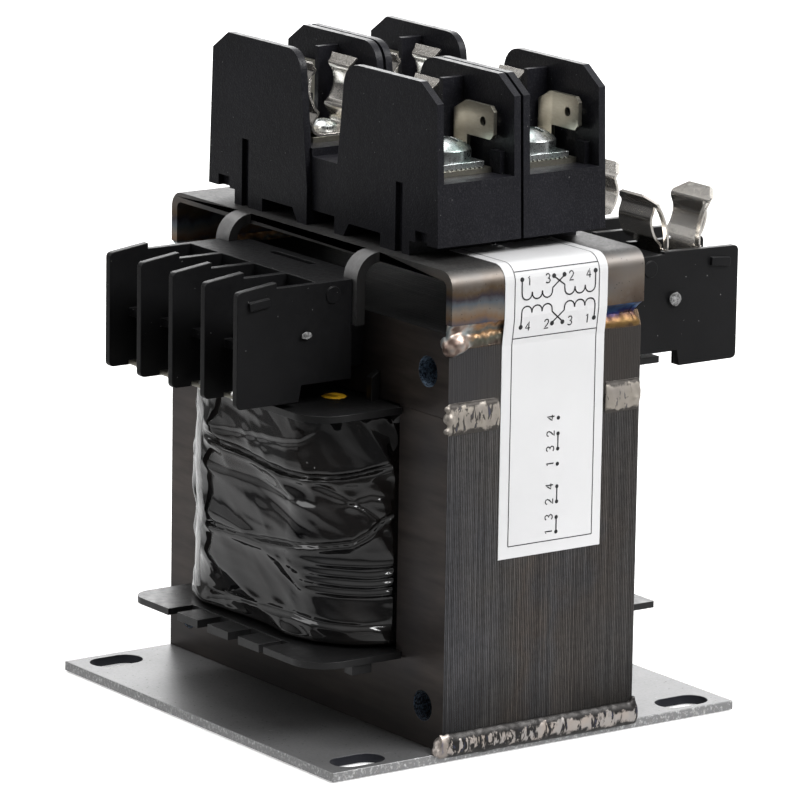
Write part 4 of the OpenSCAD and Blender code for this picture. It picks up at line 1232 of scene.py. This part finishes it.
def blob(points, faces, centre, across, up, out, spread, tall, seed):
    # a low rounded lump with an uneven edge, standing on a flat face
    start, rings, around = len(points), lumpShape["rings"], lumpShape["around"]
    for k in range(rings + 1):
        turn = k / rings * math.pi / 2
        reach = math.cos(turn) ** 0.7 if k < rings else 0.02
        for i in range(around):
            angle = 2 * math.pi * i / around
            cos, sin = math.cos(angle), math.sin(angle)
            uneven = (1 + lumpShape["edge"] * wander((cos, sin, 0), 0.6, seed)) * reach
            at = centre + across * spread[0] * cos * uneven + up * spread[1] * sin * uneven
            lift = tall * math.sin(turn) * (1 + lumpShape["top"] * wander(at, 0.9, seed + 1))
            points.append(at + out * lift)
    for k in range(rings):
        faces.extend(ringFaces(start + k * around, start + (k + 1) * around, 0, around))
    faces.append(tuple(start + rings * around + i for i in range(around)))


xAxis, yAxis, zAxis = Vector((1, 0, 0)), Vector((0, 1, 0)), Vector((0, 0, 1))

paintDot = {"tall": 0.22, "seed": 5}


def makeDot():
    points, faces = [], []
    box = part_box("paint_dot")
    centre = (box[0] + box[1]) * 500
    radius = (box[1].x - box[0].x) * 500
    blob(points, faces, Vector((centre.x, centre.y, low("paint_dot").z * 1000)), xAxis, yAxis, zAxis,
         (radius, radius), paintDot["tall"], paintDot["seed"])
    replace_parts(addMesh("paintDotBlob", points, faces, "dot_paint"), "paint_dot")


gateMarks = {
    "tall": 0.07, "seed": 11,
    # x, height, half width, half height, node
    "places": [(-37.9, 78.7, 1.15, 0.70, "primary_block"), (38.9, 79.4, 1.35, 1.35, "secondary_block")],
}


def makeMarks():
    points, faces = [], []
    for seed, (x, z, wide, tall, node) in enumerate(gateMarks["places"], gateMarks["seed"]):
        face = Vector((x, low(node).y * 1000 - 0.005, z))
        blob(points, faces, face, xAxis, zAxis, -yAxis, (wide, tall), gateMarks["tall"], seed)
    addMesh("gateMarks", points, faces, "block_plastic", markFinish)


solder = {
    "seed": 20, "top": 67.4, "under": 66.8,  # heights of the two faces of a tag, mm
    # how far from the tag's end, half length and half width, how tall
    "lumps": ((1.6, (1.7, 1.3), 1.0), (2.9, (1.2, 1.0), 0.7)),
}


def makeSolder():
    # tinned lumps where the coil's ends are soldered to the tags
    points, faces, seed = [], [], solder["seed"]
    for node, away in (("primary_terminals", -1), ("secondary_terminals", 1)):
        for lowest, highest in islands(node):
            y = (lowest.y + highest.y) / 2
            end = lowest.x if away < 0 else highest.x
            for dx, spread, tall in solder["lumps"]:
                at = Vector((end - away * dx, y + 0.5 * wander((dx, y, 0), 1.3, seed), solder["top"]))
                blob(points, faces, at, xAxis, yAxis, zAxis, spread, tall, seed)
                under = Vector((at.x, at.y, solder["under"]))
                blob(points, faces, under, xAxis, -yAxis, -zAxis, spread, tall * 0.8, seed + 1)
                seed += 2
    addMesh("solderLumps", points, faces, "tinned_brass", finishes["solder"])


print("small marks")
makeDot()
makeMarks()
makeSolder()


# Pressure plates under the wire screws, ribbed on the underside

washer = {"tooth": 1.05, "deep": 0.32, "slope": 0.28, "edge": 0.10, "turn": 30}


def makeWashers():
    points, faces = [], []
    for lowest, highest in islands("wire_washers"):
        (x0, y0, z0), (x1, y1, z1), slope = lowest, highest, washer["slope"]
        count = round((x1 - x0) / washer["tooth"])
        profile = [(x1, z1), (x0, z1), (x0, z0 + washer["deep"])]
        for k in range(count):
            a = x0 + (x1 - x0) * k / count
            b = x0 + (x1 - x0) * (k + 1) / count
            profile += [(a * (1 - slope) + b * slope, z0), (a * slope + b * (1 - slope), z0),
                        (b, z0 + washer["deep"])]
        start, size = len(points), len(profile)
        for y in (y0, y1):
            points += [(x, y, z) for x, z in profile]
        faces += ringFaces(start + size, start, 0, size)
        faces.append(tuple(range(start, start + size)))
        faces.append(tuple(reversed(range(start + size, start + 2 * size))))
    piece = addMesh("washersRibbed", points, faces, "zinc")
    roundEdges(piece, washer["edge"], washer["turn"])
    settle(piece)
    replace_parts(piece, "wire_washers")


makeWashers()

print("label's own finish")
for slot in nodes["label"].material_slots:
    slot.material = finishes["label_vinyl"]
